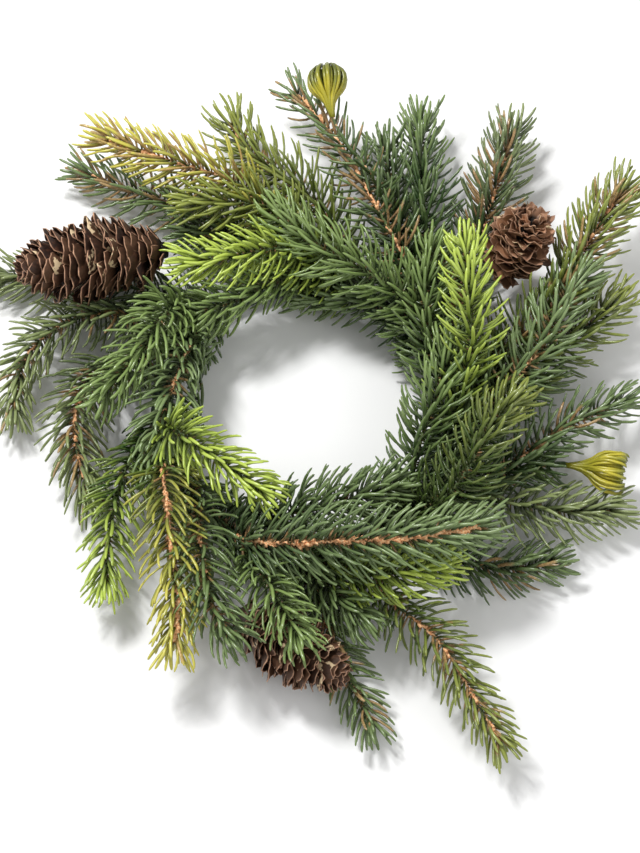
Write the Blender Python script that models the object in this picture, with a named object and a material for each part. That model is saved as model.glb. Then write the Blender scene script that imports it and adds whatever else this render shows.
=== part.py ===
# Spruce candle ring: a taped wire hoop that lies flat round a pillar candle and carries
# plastic spruce sprigs, two curled sprig buds and three spruce cones.
# The hoop's middle is the origin, the surface it lies on is z = 0, and +Y points to the back.
import math
import random

import bmesh
import bpy
import numpy as np

MM = 0.001

# Hoop: thick wire bound with floral tape, flattened underneath where it rests.
HOOP_RADIUS = 76 * MM
HOOP_TUBE = 6 * MM
HOOP_SIDES = 10
HOOP_STEPS = 40
HOOP_HEIGHT = HOOP_TUBE * math.cos(math.pi / HOOP_SIDES)

# Room kept free in the middle for a 75 mm pillar candle: a circle, and the box whose lowest
# and highest x and y are given here. Needles also keep off the surface below.
CANDLE_ROOM = 46 * MM
BOX_LOW = (-38.9 * MM, -38.4 * MM)
BOX_HIGH = (45.4 * MM, 38.4 * MM)
WALL_TURNS = 72
WALL_SPACE = 4 * MM
FLOOR_ROOM = 0.8 * MM
HOOP_SAMPLES = 96

# Stems: each foot lies along the hoop, a seat gap away, before the stem leaves it.
SEAT_GAP = 0.4 * MM
FOOT_LENGTH = 6 * MM
FOOT_PITCH = math.radians(7.2)
FOOT_SIDES = (18, 54, 90, 126)
FOOT_LEAD_LEAST = math.radians(8)
FOOT_LEAD_MOST = math.radians(34)
FOOT_LEAD_RISE = 0.45
FOOT_ROUNDS = 400
STEM_SIDES = 4
STEM_ROOT_RADIUS = 1.8 * MM
STEM_TIP_RADIUS = 1.1 * MM
STALK_RADIUS = 1.3 * MM
PATH_STEP = 5 * MM
PATH_SAMPLES = 24
BEND_PITCH = 9 * MM

# Lifting: the room each stem keeps, its lowest height, and how the rounds of lifting act.
STEM_GIRTH = 4.2 * MM
HOOP_GIRTH = 7.5 * MM
STEM_FLOOR = 9 * MM
LIFT_ROUNDS = 140
LIFT_GAIN = 0.6
LIFT_REACH = 15 * MM
STIFFNESS = 0.5
TENSION = 0.1
HOLD = 0.04

# Stems that cross are lifted apart along this line, up and a little to the front.
LIFT_TILT = math.radians(68)
LIFT = np.array([0.0, -math.cos(LIFT_TILT), math.sin(LIFT_TILT)])

# Needles: four at each station, turned by an eighth of a circle from one to the next.
NEEDLE_LENGTH = 20 * MM
NEEDLE_WIDTH = 1.8 * MM
NEEDLE_PITCH = 9 * MM
NEEDLE_HALF = 1.35 * MM
NEEDLE_AIR = 0.35 * MM
NEEDLE_SINK = 0.7
BARE_REACH = 15 * MM
BARE_TIP = 4 * MM
ROOT_LEAN = math.radians(56)
TIP_LEAN = math.radians(27)
LEAST_LEAN = math.radians(20)
LEAN_CURVE = 2.2
NEEDLE_WOBBLE = 6
NEEDLE_SPREAD = 0.07
LEADER_LENGTH = 13 * MM
ROOM_SIZE = 4000
SEED = 2

# Ways to bend or shorten a needle that would touch something: turn, lean (degrees), length.
NEEDLE_TRIES = (
    (0, 0, 1.0), (14, 0, 1.0), (-14, 0, 1.0), (0, -13, 1.0), (0, 13, 1.0),
    (22, -9, 0.95), (-22, -9, 0.95), (0, -20, 0.9), (18, 12, 0.85), (-18, 12, 0.85),
    (0, 0, 0.75), (20, -14, 0.7), (-20, -14, 0.7), (0, -16, 0.55), (0, 8, 0.5),
)

# Cones: scales in staggered rows, each a wedge raised from the core.
CONE_AROUND = 8
CONE_ROWS = 12
CONE_CORE = 0.34
CONE_CORE_LEAST = 1.2 * MM
CONE_BASE = 0.62
CONE_SHOULDER = 0.36
CONE_LEAD = 9 * MM
CONE_AIR = 1.5 * MM
SCALE_WIDTH = 0.58
SCALE_SHOULDER = 0.8
SCALE_OPEN = math.radians(62)
SCALE_OPEN_AT_APEX = math.radians(22)

# Buds: rings of needles that curl in over the end of a short stalk.
BUD_RINGS = 3
BUD_PITCH = 4.2 * MM
BUD_REACH = 8.5 * MM
BUD_HEIGHT = 19 * MM
BUD_AIR = 4 * MM
BUD_SHRINK = 0.31
BUD_TIP = 2 * MM

COLOURS = {
    "dark": (0.028, 0.075, 0.035),
    "green": (0.060, 0.150, 0.045),
    "blue": (0.055, 0.130, 0.095),
    "grey": (0.080, 0.140, 0.080),
    "olive": (0.130, 0.190, 0.045),
    "lime": (0.240, 0.420, 0.050),
    "yellow": (0.340, 0.400, 0.060),
    "bud": (0.260, 0.280, 0.040),
    "cone": (0.085, 0.040, 0.022),
    "tape": (0.020, 0.045, 0.022),
}

# Sprigs: name, colour and the points (mm) that the leafy part of the stem runs through.
SPRIGS = (
    ("top_long", "dark", ((53, 82, 44), (44, 96, 46), (26, 137, 44), (8, 168, 35), (-8, 192, 28))),
    ("top_short", "dark", ((55, 98, 30), (49, 129, 30), (47, 159, 28))),
    ("top_wide", "green", ((68, 90, 28), (67, 132, 26), (67, 176, 24))),
    ("top_deep", "dark", ((53, 53, 24), (23, 60, 22), (-7, 61, 22))),
    ("top_right", "grey", ((98, 92, 28), (111, 138, 26), (120, 171, 24))),
    ("right_bronze", "olive", ((134, 48, 36), (147, 72, 40), (164, 99, 44), (180, 122, 44))),
    ("right_outer", "olive", ((127, 22, 28), (155, 41, 30), (174, 62, 28))),
    ("right_blue", "blue", ((106, 1, 44), (122, 14, 46), (134, 39, 48), (154, 69, 46))),
    ("right_short", "dark", ((108, -2, 24), (138, 17, 20))),
    ("right_lime", "lime", ((88, 16, 62), (87, 45, 66), (86, 80, 64))),
    ("right_upper_inner", "green", ((68, 23, 44), (66, 58, 44), (73, 89, 42))),
    ("right_lower_inner", "green", ((60, -36, 44), (64, -22, 46), (75, 7, 48), (79, 30, 46))),
    ("right_over", "olive", ((82, -56, 56), (96, -27, 58), (115, -6, 54))),
    ("right_long", "dark", ((97, -49, 34), (136, -19, 30), (178, 2, 26))),
    ("right_pale", "grey", ((98, -56, 24), (135, -61, 20), (171, -58, 18))),
    ("lower_right_shade", "dark", ((85, -88, 14), (114, -90, 12), (140, -83, 12))),
    ("bottom_long", "blue", ((-20, -90, 56), (19, -90, 60), (49, -89, 60), (79, -84, 58), (98, -78, 54))),
    ("bottom_inner", "dark", ((-11, -70, 40), (22, -63, 42), (57, -50, 40))),
    ("bottom_lime", "lime", ((32, -102, 42), (54, -101, 42), (79, -92, 38))),
    ("bottom_right_long", "olive", ((47, -114, 28), (70, -132, 26), (84, -157, 24), (103, -189, 22))),
    ("bottom_short", "dark", ((22, -146, 12), (30, -159, 12), (38, -179, 12))),
    ("bottom_middle", "dark", ((14, -108, 36), (37, -126, 32))),
    ("bottom_over_cone", "green", ((-20, -103, 46), (-6, -126, 46), (2, -142, 42))),
    ("lower_left_dark", "dark", ((-55, -63, 36), (-50, -94, 42), (-43, -124, 46), (-30, -139, 44))),
    ("lower_left_yellow", "yellow", ((-71, -47, 44), (-67, -79, 44), (-62, -115, 40), (-65, -144, 34))),
    ("lower_left_lime", "lime", ((-92, -40, 32), (-98, -66, 30), (-101, -110, 24))),
    ("left_inner_lime", "lime", ((-62, -31, 58), (-39, -49, 58), (-12, -66, 52))),
    ("left_blue", "blue", ((-60, 20, 44), (-71, -11, 44), (-76, -45, 38))),
    ("left_deep", "dark", ((-52, -4, 24), (-56, 23, 24), (-50, 47, 24))),
    ("left_over", "green", ((-72, 39, 54), (-83, 17, 52), (-99, 0, 46), (-110, -10, 42))),
    ("left_lower", "grey", ((-113, 14, 26), (-122, -13, 22), (-119, -30, 20), (-108, -59, 16))),
    ("left_outer", "grey", ((-111, 48, 32), (-138, 38, 26), (-152, 20, 20), (-155, -11, 14))),
    ("left_far", "grey", ((-108, 76, 14), (-140, 77, 13), (-178, 79, 12))),
    ("upper_left_inner", "green", ((-9, 65, 42), (-33, 52, 42), (-57, 44, 40), (-73, 41, 40))),
    ("upper_left_lime", "lime", ((-9, 76, 56), (-35, 68, 58), (-69, 66, 56))),
    ("upper_left_glossy", "green", ((52, 51, 50), (25, 65, 58), (-1, 80, 60), (-18, 98, 58))),
    ("upper_left_deep", "dark", ((-29, 97, 26), (-54, 100, 24), (-73, 102, 22))),
    ("upper_left_olive", "olive", ((-17, 104, 48), (-44, 106, 48), (-68, 108, 44))),
    ("upper_left_shade", "dark", ((-56, 110, 26), (-96, 127, 22), (-130, 144, 18))),
    ("upper_left_yellow", "yellow", ((-29, 119, 40), (-73, 134, 44), (-116, 152, 42))),
    ("upper_left_dull", "olive", ((10, 113, 32), (-15, 134, 30), (-32, 151, 28), (-43, 174, 30))),
)

# Buds: name and the points that the stalk runs through, the last in the middle of the bud.
BUDS = (
    ("bud_top", ((39, 121, 49), (25, 136, 55), (16, 153, 59), (14, 173, 60))),
    ("bud_right", ((114, -39, 24), (140, -37, 26), (159, -41, 28))),
)

# Cones: name, greatest radius (mm), the stem end and the apex.
CONES = (
    ("cone_left", 22, (-75, 84, 34), (-147, 62, 56)),
    ("cone_right", 20, (111, 77, 22), (125, 88, 78)),
    ("cone_bottom", 20, (-34, -117, 22), (21, -151, 26)),
)


def clear_scene():
    for item in list(bpy.data.objects):
        bpy.data.objects.remove(item, do_unlink=True)


def material(colour, roughness):
    name = f"{colour}_finish"
    if name in bpy.data.materials:
        return bpy.data.materials[name]
    made = bpy.data.materials.new(name)
    made.use_nodes = True
    shader = made.node_tree.nodes["Principled BSDF"]
    shader.inputs["Base Color"].default_value = (*COLOURS[colour], 1.0)
    shader.inputs["Roughness"].default_value = roughness
    shader.inputs["Metallic"].default_value = 0.0
    made.diffuse_color = (*COLOURS[colour], 1.0)
    return made


def finish(name, bm, colour, roughness):
    """Turn a bmesh into the named object of the scene."""
    mesh = bpy.data.meshes.new(name)
    bm.to_mesh(mesh)
    bm.free()
    mesh.materials.append(material(colour, roughness))
    made = bpy.data.objects.new(name, mesh)
    bpy.context.scene.collection.objects.link(made)
    return made


def unit(vector):
    return vector / np.linalg.norm(vector)


def make_hoop():
    """Spin the tape's section round the axis, with one of its sides flat on the surface."""
    bm = bmesh.new()
    section = []
    for k in range(HOOP_SIDES):
        turn = math.tau * (k + 0.5) / HOOP_SIDES - math.pi / 2
        across = HOOP_RADIUS + HOOP_TUBE * math.cos(turn)
        height = HOOP_HEIGHT + HOOP_TUBE * math.sin(turn)
        section.append(bm.verts.new((across, 0, height)))
    edges = [bm.edges.new((section[k], section[(k + 1) % HOOP_SIDES])) for k in range(HOOP_SIDES)]
    bmesh.ops.spin(
        bm, geom=section + edges, cent=(0, 0, 0), axis=(0, 0, 1),
        angle=math.tau, steps=HOOP_STEPS, use_merge=True,
    )
    bmesh.ops.remove_doubles(bm, verts=bm.verts, dist=0.01 * MM)
    bmesh.ops.recalc_face_normals(bm, faces=bm.faces)
    return finish("base_hoop", bm, "tape", 0.8)


def hoop_point(angle, side, offset):
    """A point beside the hoop: angle round it, side round its tube, offset from its middle."""
    across = HOOP_RADIUS + offset * math.cos(side)
    height = HOOP_HEIGHT + offset * math.sin(side)
    return np.array([across * math.cos(angle), across * math.sin(angle), height])


def foot_side(first):
    """The flat of the hoop's tube that faces a stem's first point."""
    across = math.hypot(first[0], first[1]) - HOOP_RADIUS
    wanted = math.degrees(math.atan2(first[2] - HOOP_HEIGHT, across))
    return math.radians(min(FOOT_SIDES, key=lambda flat: abs(flat - wanted)))


def foot_places(starts):
    """Where each stem's foot lies: side, angle and sense, spread along each side of the hoop."""
    angles = []
    for first, second in starts:
        sense = 1.0 if first[0] * (second[1] - first[1]) - first[1] * (second[0] - first[0]) > 0 else -1.0
        away = math.hypot(math.hypot(first[0], first[1]) - HOOP_RADIUS, first[2] - HOOP_HEIGHT)
        heading = unit(np.array(second[:2]) - np.array(first[:2]))
        askew = abs(first[0] * heading[1] - first[1] * heading[0]) / math.hypot(first[0], first[1])
        lead = (FOOT_LEAD_LEAST + FOOT_LEAD_RISE * away / HOOP_RADIUS) * (0.25 + 0.75 * askew)
        angles.append(math.atan2(first[1], first[0]) - sense * min(lead, FOOT_LEAD_MOST))
    sides = [foot_side(first) for first, _ in starts]
    feet = {}
    for side in sorted(set(sides)):
        row = [k for k in range(len(starts)) if sides[k] == side]
        row.sort(key=lambda k: angles[k] % math.tau)
        place = [angles[k] % math.tau for k in row]
        for _ in range(FOOT_ROUNDS):
            for k in range(len(place)):
                after = (k + 1) % len(place)
                gap = place[after] - place[k] + (math.tau if after == 0 else 0)
                short = FOOT_PITCH - gap
                if short > 0:
                    place[k] -= short / 2
                    place[after] += short / 2
        for where, k in zip(place, row):
            first = starts[k][0]
            ahead = math.remainder(math.atan2(first[1], first[0]) - where, math.tau)
            feet[k] = (side, where, math.copysign(1.0, ahead))
    return [feet[k] for k in range(len(starts))]


def foot_points(place):
    """Two points along the hoop, over the flat that the foot lies on."""
    side, angle, sense = place
    offset = HOOP_HEIGHT + SEAT_GAP + STEM_ROOT_RADIUS * math.cos(math.pi / STEM_SIDES)
    half = 0.5 * sense * FOOT_LENGTH / HOOP_RADIUS
    return [hoop_point(angle - half, side, offset), hoop_point(angle + half, side, offset)]


def smooth_path(points):
    """Smooth curve through the points, whatever their spacing, sampled at an even step."""
    points = np.array(points, float)
    span = np.linalg.norm(np.diff(points, axis=0), axis=1)[:, None]
    slope = np.diff(points, axis=0) / span
    inner = (slope[:-1] * span[1:] + slope[1:] * span[:-1]) / (span[:-1] + span[1:])
    slopes = np.vstack([slope[:1], inner, slope[-1:]])
    fine = []
    for k, length in enumerate(span[:, 0]):
        for t in np.linspace(0, 1, PATH_SAMPLES, endpoint=False):
            fine.append(
                (2 * t**3 - 3 * t**2 + 1) * points[k] + (t**3 - 2 * t**2 + t) * length * slopes[k]
                + (3 * t**2 - 2 * t**3) * points[k + 1] + (t**3 - t**2) * length * slopes[k + 1]
            )
    fine.append(points[-1])
    return resample(np.array(fine), PATH_STEP)


def resample(line, step):
    """The same line with its points spread evenly, about a step apart."""
    run = np.concatenate([[0], np.cumsum(np.linalg.norm(np.diff(line, axis=0), axis=1))])
    count = max(2, round(run[-1] / step) + 1)
    at = np.linspace(0, run[-1], count)
    return np.stack([np.interp(at, run, line[:, k]) for k in range(3)], axis=1)


def lift_clear(lines, girths, frees, bends):
    """Lift or lower crossing stems along LIFT, a little each round, until they clear.

    The stems act like springy wire meanwhile: each bump spreads along its neighbours, and
    every point is drawn back to where it started as seen along LIFT.
    """
    owner = np.concatenate([[k] * len(line) for k, line in enumerate(lines)])
    place = np.concatenate(lines)
    girth = np.concatenate(girths)
    free = np.concatenate(frees)
    bend = np.concatenate(bends)[:, None]
    start = place.copy()
    inner = np.zeros(len(owner), bool)
    inner[1:-1] = (owner[1:-1] == owner[:-2]) & (owner[1:-1] == owner[2:])
    deep = np.zeros(len(owner), bool)
    deep[2:-2] = (owner[2:-2] == owner[:-4]) & (owner[2:-2] == owner[4:])
    ends = np.cumsum([len(line) for line in lines])[:-1]
    apart = girth[:, None] + girth[None, :]
    other = owner[:, None] != owner[None, :]
    rank = place @ LIFT
    above = np.where(rank[:, None] >= rank[None, :], 1.0, -1.0)
    foot = (bend[:, 0] == 0) & (girth == STEM_GIRTH)
    above[:, foot] = 1.0
    above[foot, :] = -1.0
    for _ in range(LIFT_ROUNDS):
        height = place @ LIFT
        flat = place - height[:, None] * LIFT
        rise = height[:, None] - height[None, :]
        square = ((flat[:, None, :] - flat[None, :, :]) ** 2).sum(axis=2)
        need = np.sqrt(np.maximum(apart**2 - square, 0))
        short = np.where(other & (need > 0), need - rise * above, 0)
        short = np.maximum(short, 0) * above
        share = free[:, None] / np.maximum(free[:, None] + free[None, :], 0.01)
        push = (short * share).max(axis=1) + (short * share).min(axis=1)
        place = place + (LIFT_GAIN * free * push)[:, None] * LIFT
        middle = np.zeros_like(place)
        middle[1:-1] = 0.5 * (place[:-2] + place[2:]) - place[1:-1]
        middle[~inner] = 0
        spring = np.zeros_like(place)
        spring[2:-2] = (4 * (place[1:-3] + place[3:-1]) - place[:-4] - place[4:]) / 6 - place[2:-2]
        spring[~deep] = 0
        place = place + bend * (TENSION * middle + STIFFNESS * spring)
        drift = start - place
        drift -= (drift @ LIFT)[:, None] * LIFT
        place = place + HOLD * bend * drift
        keep_off_hoop(place, bend[:, 0])
        low = (bend[:, 0] > 0.5) & (place[:, 2] < STEM_FLOOR)
        place[low, 2] = STEM_FLOOR
    return np.split(place, ends)


def keep_off_hoop(place, bend):
    """Push points that have come too near the hoop straight out from its tube."""
    across = np.hypot(place[:, 0], place[:, 1])
    out = np.stack([across - HOOP_RADIUS, place[:, 2] - HOOP_HEIGHT], axis=1)
    away = np.maximum(np.hypot(out[:, 0], out[:, 1]), 0.1 * MM)
    short = np.where(bend > 0.5, np.maximum(HOOP_TUBE + STEM_ROOT_RADIUS + 2 * SEAT_GAP - away, 0), 0)
    shift = out / away[:, None] * short[:, None]
    place[:, 0] += place[:, 0] / across * shift[:, 0]
    place[:, 1] += place[:, 1] / across * shift[:, 0]
    place[:, 2] += shift[:, 1]


def free_share(line):
    """How freely each point of a stem may be lifted: not at the foot, fully LIFT_REACH on."""
    run = np.arange(len(line)) * np.linalg.norm(line[1] - line[0])
    return np.clip((run - FOOT_LENGTH) / LIFT_REACH, 0, 1)


def bend_share(line):
    """Which points of a stem may bend: all beyond its foot."""
    run = np.arange(len(line)) * np.linalg.norm(line[1] - line[0])
    return np.where(run > FOOT_LENGTH, 1.0, 0.0)


def hoop_line():
    turns = np.linspace(0, math.tau, HOOP_SAMPLES, endpoint=False)
    height = np.full(HOOP_SAMPLES, HOOP_HEIGHT)
    return np.stack([HOOP_RADIUS * np.cos(turns), HOOP_RADIUS * np.sin(turns), height], axis=1)


def cone_profile(u, greatest):
    """Outer radius of a cone at u, from its stem end (0) to its apex (1)."""
    if u < CONE_SHOULDER:
        rise = math.sin(math.pi / 2 * u / CONE_SHOULDER)
        return greatest * (CONE_BASE + (1 - CONE_BASE) * rise)
    fall = ((u - CONE_SHOULDER) / 0.66) ** 2.1
    return greatest * max(1 - fall, 0.04) ** 0.62


def plan_stems():
    """Lay out every stem: its line after lifting, for sprigs, buds and cones alike."""
    runs = []
    for name, colour, points in SPRIGS:
        runs.append(("sprig_" + name, colour, [np.array(p) * MM for p in points]))
    for name, points in BUDS:
        runs.append((name, "bud", [np.array(p) * MM for p in points]))
    for name, _, base, apex in CONES:
        base, apex = np.array(base) * MM, np.array(apex) * MM
        runs.append((name, "cone", [base - CONE_LEAD * unit(apex - base), base, apex]))
    feet = foot_places([(points[0], points[1]) for _, _, points in runs])
    lines, girths, frees, bends = [], [], [], []
    for (name, colour, points), place in zip(runs, feet):
        foot = foot_points(place)
        if colour == "cone":
            greatest = next(row[1] for row in CONES if row[0] == name) * MM
            base, apex = points[1:]
            stalk = smooth_path(foot + points[:2])
            count = round(np.linalg.norm(apex - base) / PATH_STEP)
            body = [base + (apex - base) * k / count for k in range(1, count + 1)]
            line = np.concatenate([stalk, body])
            girth = [STEM_GIRTH] * len(stalk) + [
                cone_profile(k / count, greatest) + CONE_AIR for k in range(1, count + 1)
            ]
            from_cone = np.clip((len(stalk) - 2 - np.arange(len(stalk))) / 4, 0, 1)
            free = np.concatenate([free_share(stalk) * from_cone, np.zeros(count)])
            bend = np.concatenate([bend_share(stalk) * (from_cone > 0), np.zeros(count)])
        else:
            line = smooth_path(foot + points)
            girth = np.full(len(line), STEM_GIRTH)
            if colour == "bud":
                girth[-5:] = BUD_REACH + BUD_AIR
            free = free_share(line)
            bend = bend_share(line)
        lines.append(line)
        girths.append(np.array(girth))
        frees.append(free)
        bends.append(bend)
    around = hoop_line()
    lifted = lift_clear(
        lines + [around],
        girths + [np.full(len(around), HOOP_GIRTH)],
        frees + [np.zeros(len(around))],
        bends + [np.zeros(len(around))],
    )
    return [Stem(name, colour, line) for (name, colour, _), line in zip(runs, lifted)]


class Stem:
    """A stem's line, with the place and the frame at any distance along it."""

    def __init__(self, name, colour, line):
        self.name, self.colour, self.line = name, colour, line
        steps = np.diff(line, axis=0)
        self.run = np.concatenate([[0], np.cumsum(np.linalg.norm(steps, axis=1))])
        self.length = self.run[-1]
        ahead = np.vstack([steps, steps[-1]])
        behind = np.vstack([steps[0], steps])
        self.tangents = np.array([unit(a + b) for a, b in zip(ahead, behind)])
        self.tangents[0] = unit(steps[0])
        middle = line[0] * np.array([1, 1, 0])
        middle = unit(middle) * HOOP_RADIUS + np.array([0, 0, HOOP_HEIGHT])
        seat = unit(line[0] - middle)
        self.sides = [unit(seat + np.cross(self.tangents[0], seat))]
        for tangent in self.tangents[1:]:
            carried = self.sides[-1] - tangent * (self.sides[-1] @ tangent)
            self.sides.append(unit(carried))
        self.sides = np.array(self.sides)
        self.needles = {}
        self.stations = []

    def at(self, distance):
        place = np.array([np.interp(distance, self.run, self.line[:, k]) for k in range(3)])
        tangent = unit(np.array([np.interp(distance, self.run, self.tangents[:, k]) for k in range(3)]))
        side = np.array([np.interp(distance, self.run, self.sides[:, k]) for k in range(3)])
        side = unit(side - tangent * (side @ tangent))
        return place, tangent, side, np.cross(tangent, side)

    def radius(self, distance):
        return STEM_ROOT_RADIUS + (STEM_TIP_RADIUS - STEM_ROOT_RADIUS) * distance / self.length

    def corner(self, distance, turn, radius):
        place, _, side, up = self.at(distance)
        return place + radius * (math.cos(turn) * side + math.sin(turn) * up)

    def bare(self):
        """Distance along the stem at which it is far enough from the hoop to bear needles."""
        for distance, place in zip(self.run, self.line):
            across = math.hypot(place[0], place[1]) - HOOP_RADIUS
            if math.hypot(across, place[2] - HOOP_HEIGHT) > BARE_REACH:
                return distance
        return self.length / 2


def segment_gaps(start, end, starts, ends):
    """Least distance from one segment to each of many, and where on each it is reached."""
    u = end - start
    v = ends - starts
    w = start - starts
    a = u @ u
    b = v @ u
    c = np.maximum((v * v).sum(axis=1), 1e-12)
    d = w @ u
    e = (v * w).sum(axis=1)
    spread = np.maximum(a * c - b * b, 1e-14)
    s = np.clip((b * e - c * d) / spread, 0, 1)
    t = np.clip((b * s + e) / c, 0, 1)
    s = np.clip((b * t - d) / a, 0, 1)
    gap = np.linalg.norm(w + s[:, None] * u - t[:, None] * v, axis=1)
    return gap, s, t


def candle_wall(stem):
    """The upright plane past the candle's box that leaves a stem's needles the most space.

    A stem that bends round the box too far for any such plane has none.
    """
    points = np.vstack([stem.line, stem.line[-1] + LEADER_LENGTH * stem.tangents[-1]])[:, :2]
    walls = []
    for turn in np.linspace(0, math.tau, WALL_TURNS, endpoint=False):
        normal = np.array([math.cos(turn), math.sin(turn)])
        wall = sum(max(a * low, a * high) for a, low, high in zip(normal, BOX_LOW, BOX_HIGH))
        walls.append(((points @ normal).min() - wall, tuple(normal), wall))
    space, normal, wall = max(walls)
    return (np.array(normal), wall) if space > WALL_SPACE else None


class Room:
    """What is already in place, so that each new needle can be tested against it."""

    def __init__(self, stems):
        self.starts = np.zeros((ROOM_SIZE, 3))
        self.ends = np.zeros((ROOM_SIZE, 3))
        self.owners = np.full(ROOM_SIZE, -1)
        self.stations = np.zeros(ROOM_SIZE)
        self.count = 0
        self.walls = [candle_wall(stem) for stem in stems]
        core_starts, core_ends, core_owners, balls, reach = [], [], [], [], []
        for k, stem in enumerate(stems):
            core_starts.append(stem.line[:-1])
            core_ends.append(stem.line[1:])
            core_owners += [k] * (len(stem.line) - 1)
            if stem.colour == "cone":
                body = cone_stretch(stem)
                for u in np.linspace(0, 1, 24):
                    balls.append(stem.at(body[0] + u * (body[1] - body[0]))[0])
                    reach.append(cone_profile(u, body[2]) + 1.0 * MM)
            if stem.colour == "bud":
                for back in np.linspace(0, BUD_HEIGHT, 6):
                    balls.append(stem.at(stem.length - back)[0])
                    reach.append(BUD_REACH + 1.6 * MM)
        self.core_starts = np.concatenate(core_starts)
        self.core_ends = np.concatenate(core_ends)
        self.core_owners = np.array(core_owners)
        self.balls = np.array(balls)
        self.reach = np.array(reach)

    def add(self, owner, station, root, tip):
        self.starts[self.count] = root
        self.ends[self.count] = tip
        self.owners[self.count] = owner
        self.stations[self.count] = station
        self.count += 1

    def clear(self, owner, station, root, tip):
        along = np.linspace(0, 1, 9)[:, None]
        points = root + (tip - root) * along
        if points[:, 2].min() < FLOOR_ROOM + NEEDLE_HALF * 0.5:
            return False
        across = np.hypot(points[:, 0], points[:, 1])
        inside = (points[:, :2] > BOX_LOW).all(axis=1) & (points[:, :2] < BOX_HIGH).all(axis=1)
        if across.min() < CANDLE_ROOM or inside.any():
            return False
        if self.walls[owner] is not None:
            normal, wall = self.walls[owner]
            if (points[:, :2] @ normal).min() < wall:
                return False
        half = NEEDLE_HALF * (1 - along[:, 0])
        hoop = np.hypot(across - HOOP_RADIUS, points[:, 2] - HOOP_HEIGHT)
        if (hoop < HOOP_TUBE + NEEDLE_AIR + half).any():
            return False
        away = np.linalg.norm(points[:, None, :] - self.balls[None, :, :], axis=2)
        if (away < self.reach[None, :] + 0.4 * half[:, None]).any():
            return False
        gap, s, _ = segment_gaps(root, tip, self.core_starts, self.core_ends)
        own = self.core_owners == owner
        need = NEEDLE_AIR + NEEDLE_HALF * (1 - s) + STEM_ROOT_RADIUS
        if ((gap < need) & (~own | (s > 0.4))).any():
            return False
        if not self.count:
            return True
        gap, s, t = segment_gaps(root, tip, self.starts[: self.count], self.ends[: self.count])
        need = NEEDLE_AIR + NEEDLE_HALF * (2 - s - t)
        own = self.owners[: self.count] == owner
        same_ring = own & (self.stations[: self.count] == station)
        need = np.where(own, 0.15 * MM + 0.7 * NEEDLE_HALF * (2 - s - t), need)
        need = np.where(same_ring, 0, need)
        return not (gap < need).any()


def cone_stretch(stem):
    """Where on its line a cone's body starts and ends, and its greatest radius."""
    row = next(row for row in CONES if row[0] == stem.name)
    base, apex = np.array(row[2]) * MM, np.array(row[3]) * MM
    body = np.linalg.norm(apex - base)
    return stem.length - body, stem.length, row[1] * MM


def place_needles(stems):
    """Give each sprig its needles, from the tips down, bending those that would touch."""
    draw = random.Random(SEED)
    room = Room(stems)
    waiting = []
    for k, stem in enumerate(stems):
        if stem.colour in ("cone", "bud"):
            continue
        start, end = stem.bare(), stem.length - BARE_TIP
        count = max(2, round((end - start) / NEEDLE_PITCH) + 1)
        stem.stations = list(np.linspace(start, end, count))
        room.add(k, -1, stem.line[-1], stem.line[-1] + LEADER_LENGTH * stem.tangents[-1])
        for station in range(count):
            waiting.append((count - 1 - station, k, station))
    for _, k, station in sorted(waiting):
        stem = stems[k]
        distance = stem.stations[station]
        share = station / (len(stem.stations) - 1)
        lean = ROOT_LEAN + (TIP_LEAN - ROOT_LEAN) * share**LEAN_CURVE
        length = NEEDLE_LENGTH * (0.9 + 0.1 * math.sin(math.pi * share))
        length *= draw.uniform(1 - NEEDLE_SPREAD, 1 + NEEDLE_SPREAD)
        place, tangent, side, up = stem.at(distance)
        for quarter in range(STEM_SIDES):
            turn = station_turn(station) + math.tau * (quarter + 0.5) / STEM_SIDES
            wobble = math.radians(draw.uniform(-NEEDLE_WOBBLE, NEEDLE_WOBBLE))
            for swing, tilt, scale in NEEDLE_TRIES:
                about = turn + math.radians(swing) + wobble
                leaning = max(lean + math.radians(tilt), LEAST_LEAN)
                out = math.cos(about) * side + math.sin(about) * up
                ahead = math.cos(leaning) * tangent + math.sin(leaning) * out
                face = math.cos(turn) * side + math.sin(turn) * up
                root = place + NEEDLE_SINK * stem.radius(distance) * face
                tip = root + ahead * length * scale
                if room.clear(k, station, root, tip):
                    room.add(k, station, root, tip)
                    stem.needles[station, quarter] = tip
                    break


def station_turn(station):
    return math.tau / (2 * STEM_SIDES) * station


def ring(bm, stem, distance, turn, sides, radius):
    return [
        bm.verts.new(stem.corner(distance, turn + math.tau * k / sides, radius)) for k in range(sides)
    ]


def band(bm, low, high):
    for k in range(len(low)):
        after = (k + 1) % len(low)
        bm.faces.new((low[k], low[after], high[after], high[k]))


def twisted_band(bm, low, high):
    """Join two rings of which the upper is turned by half a side."""
    for k in range(len(low)):
        after = (k + 1) % len(low)
        bm.faces.new((low[k], low[after], high[k]))
        bm.faces.new((high[k], low[after], high[after]))


def cap(bm, ring_verts, tip):
    for k in range(len(ring_verts)):
        bm.faces.new((ring_verts[k], ring_verts[(k + 1) % len(ring_verts)], tip))


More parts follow.
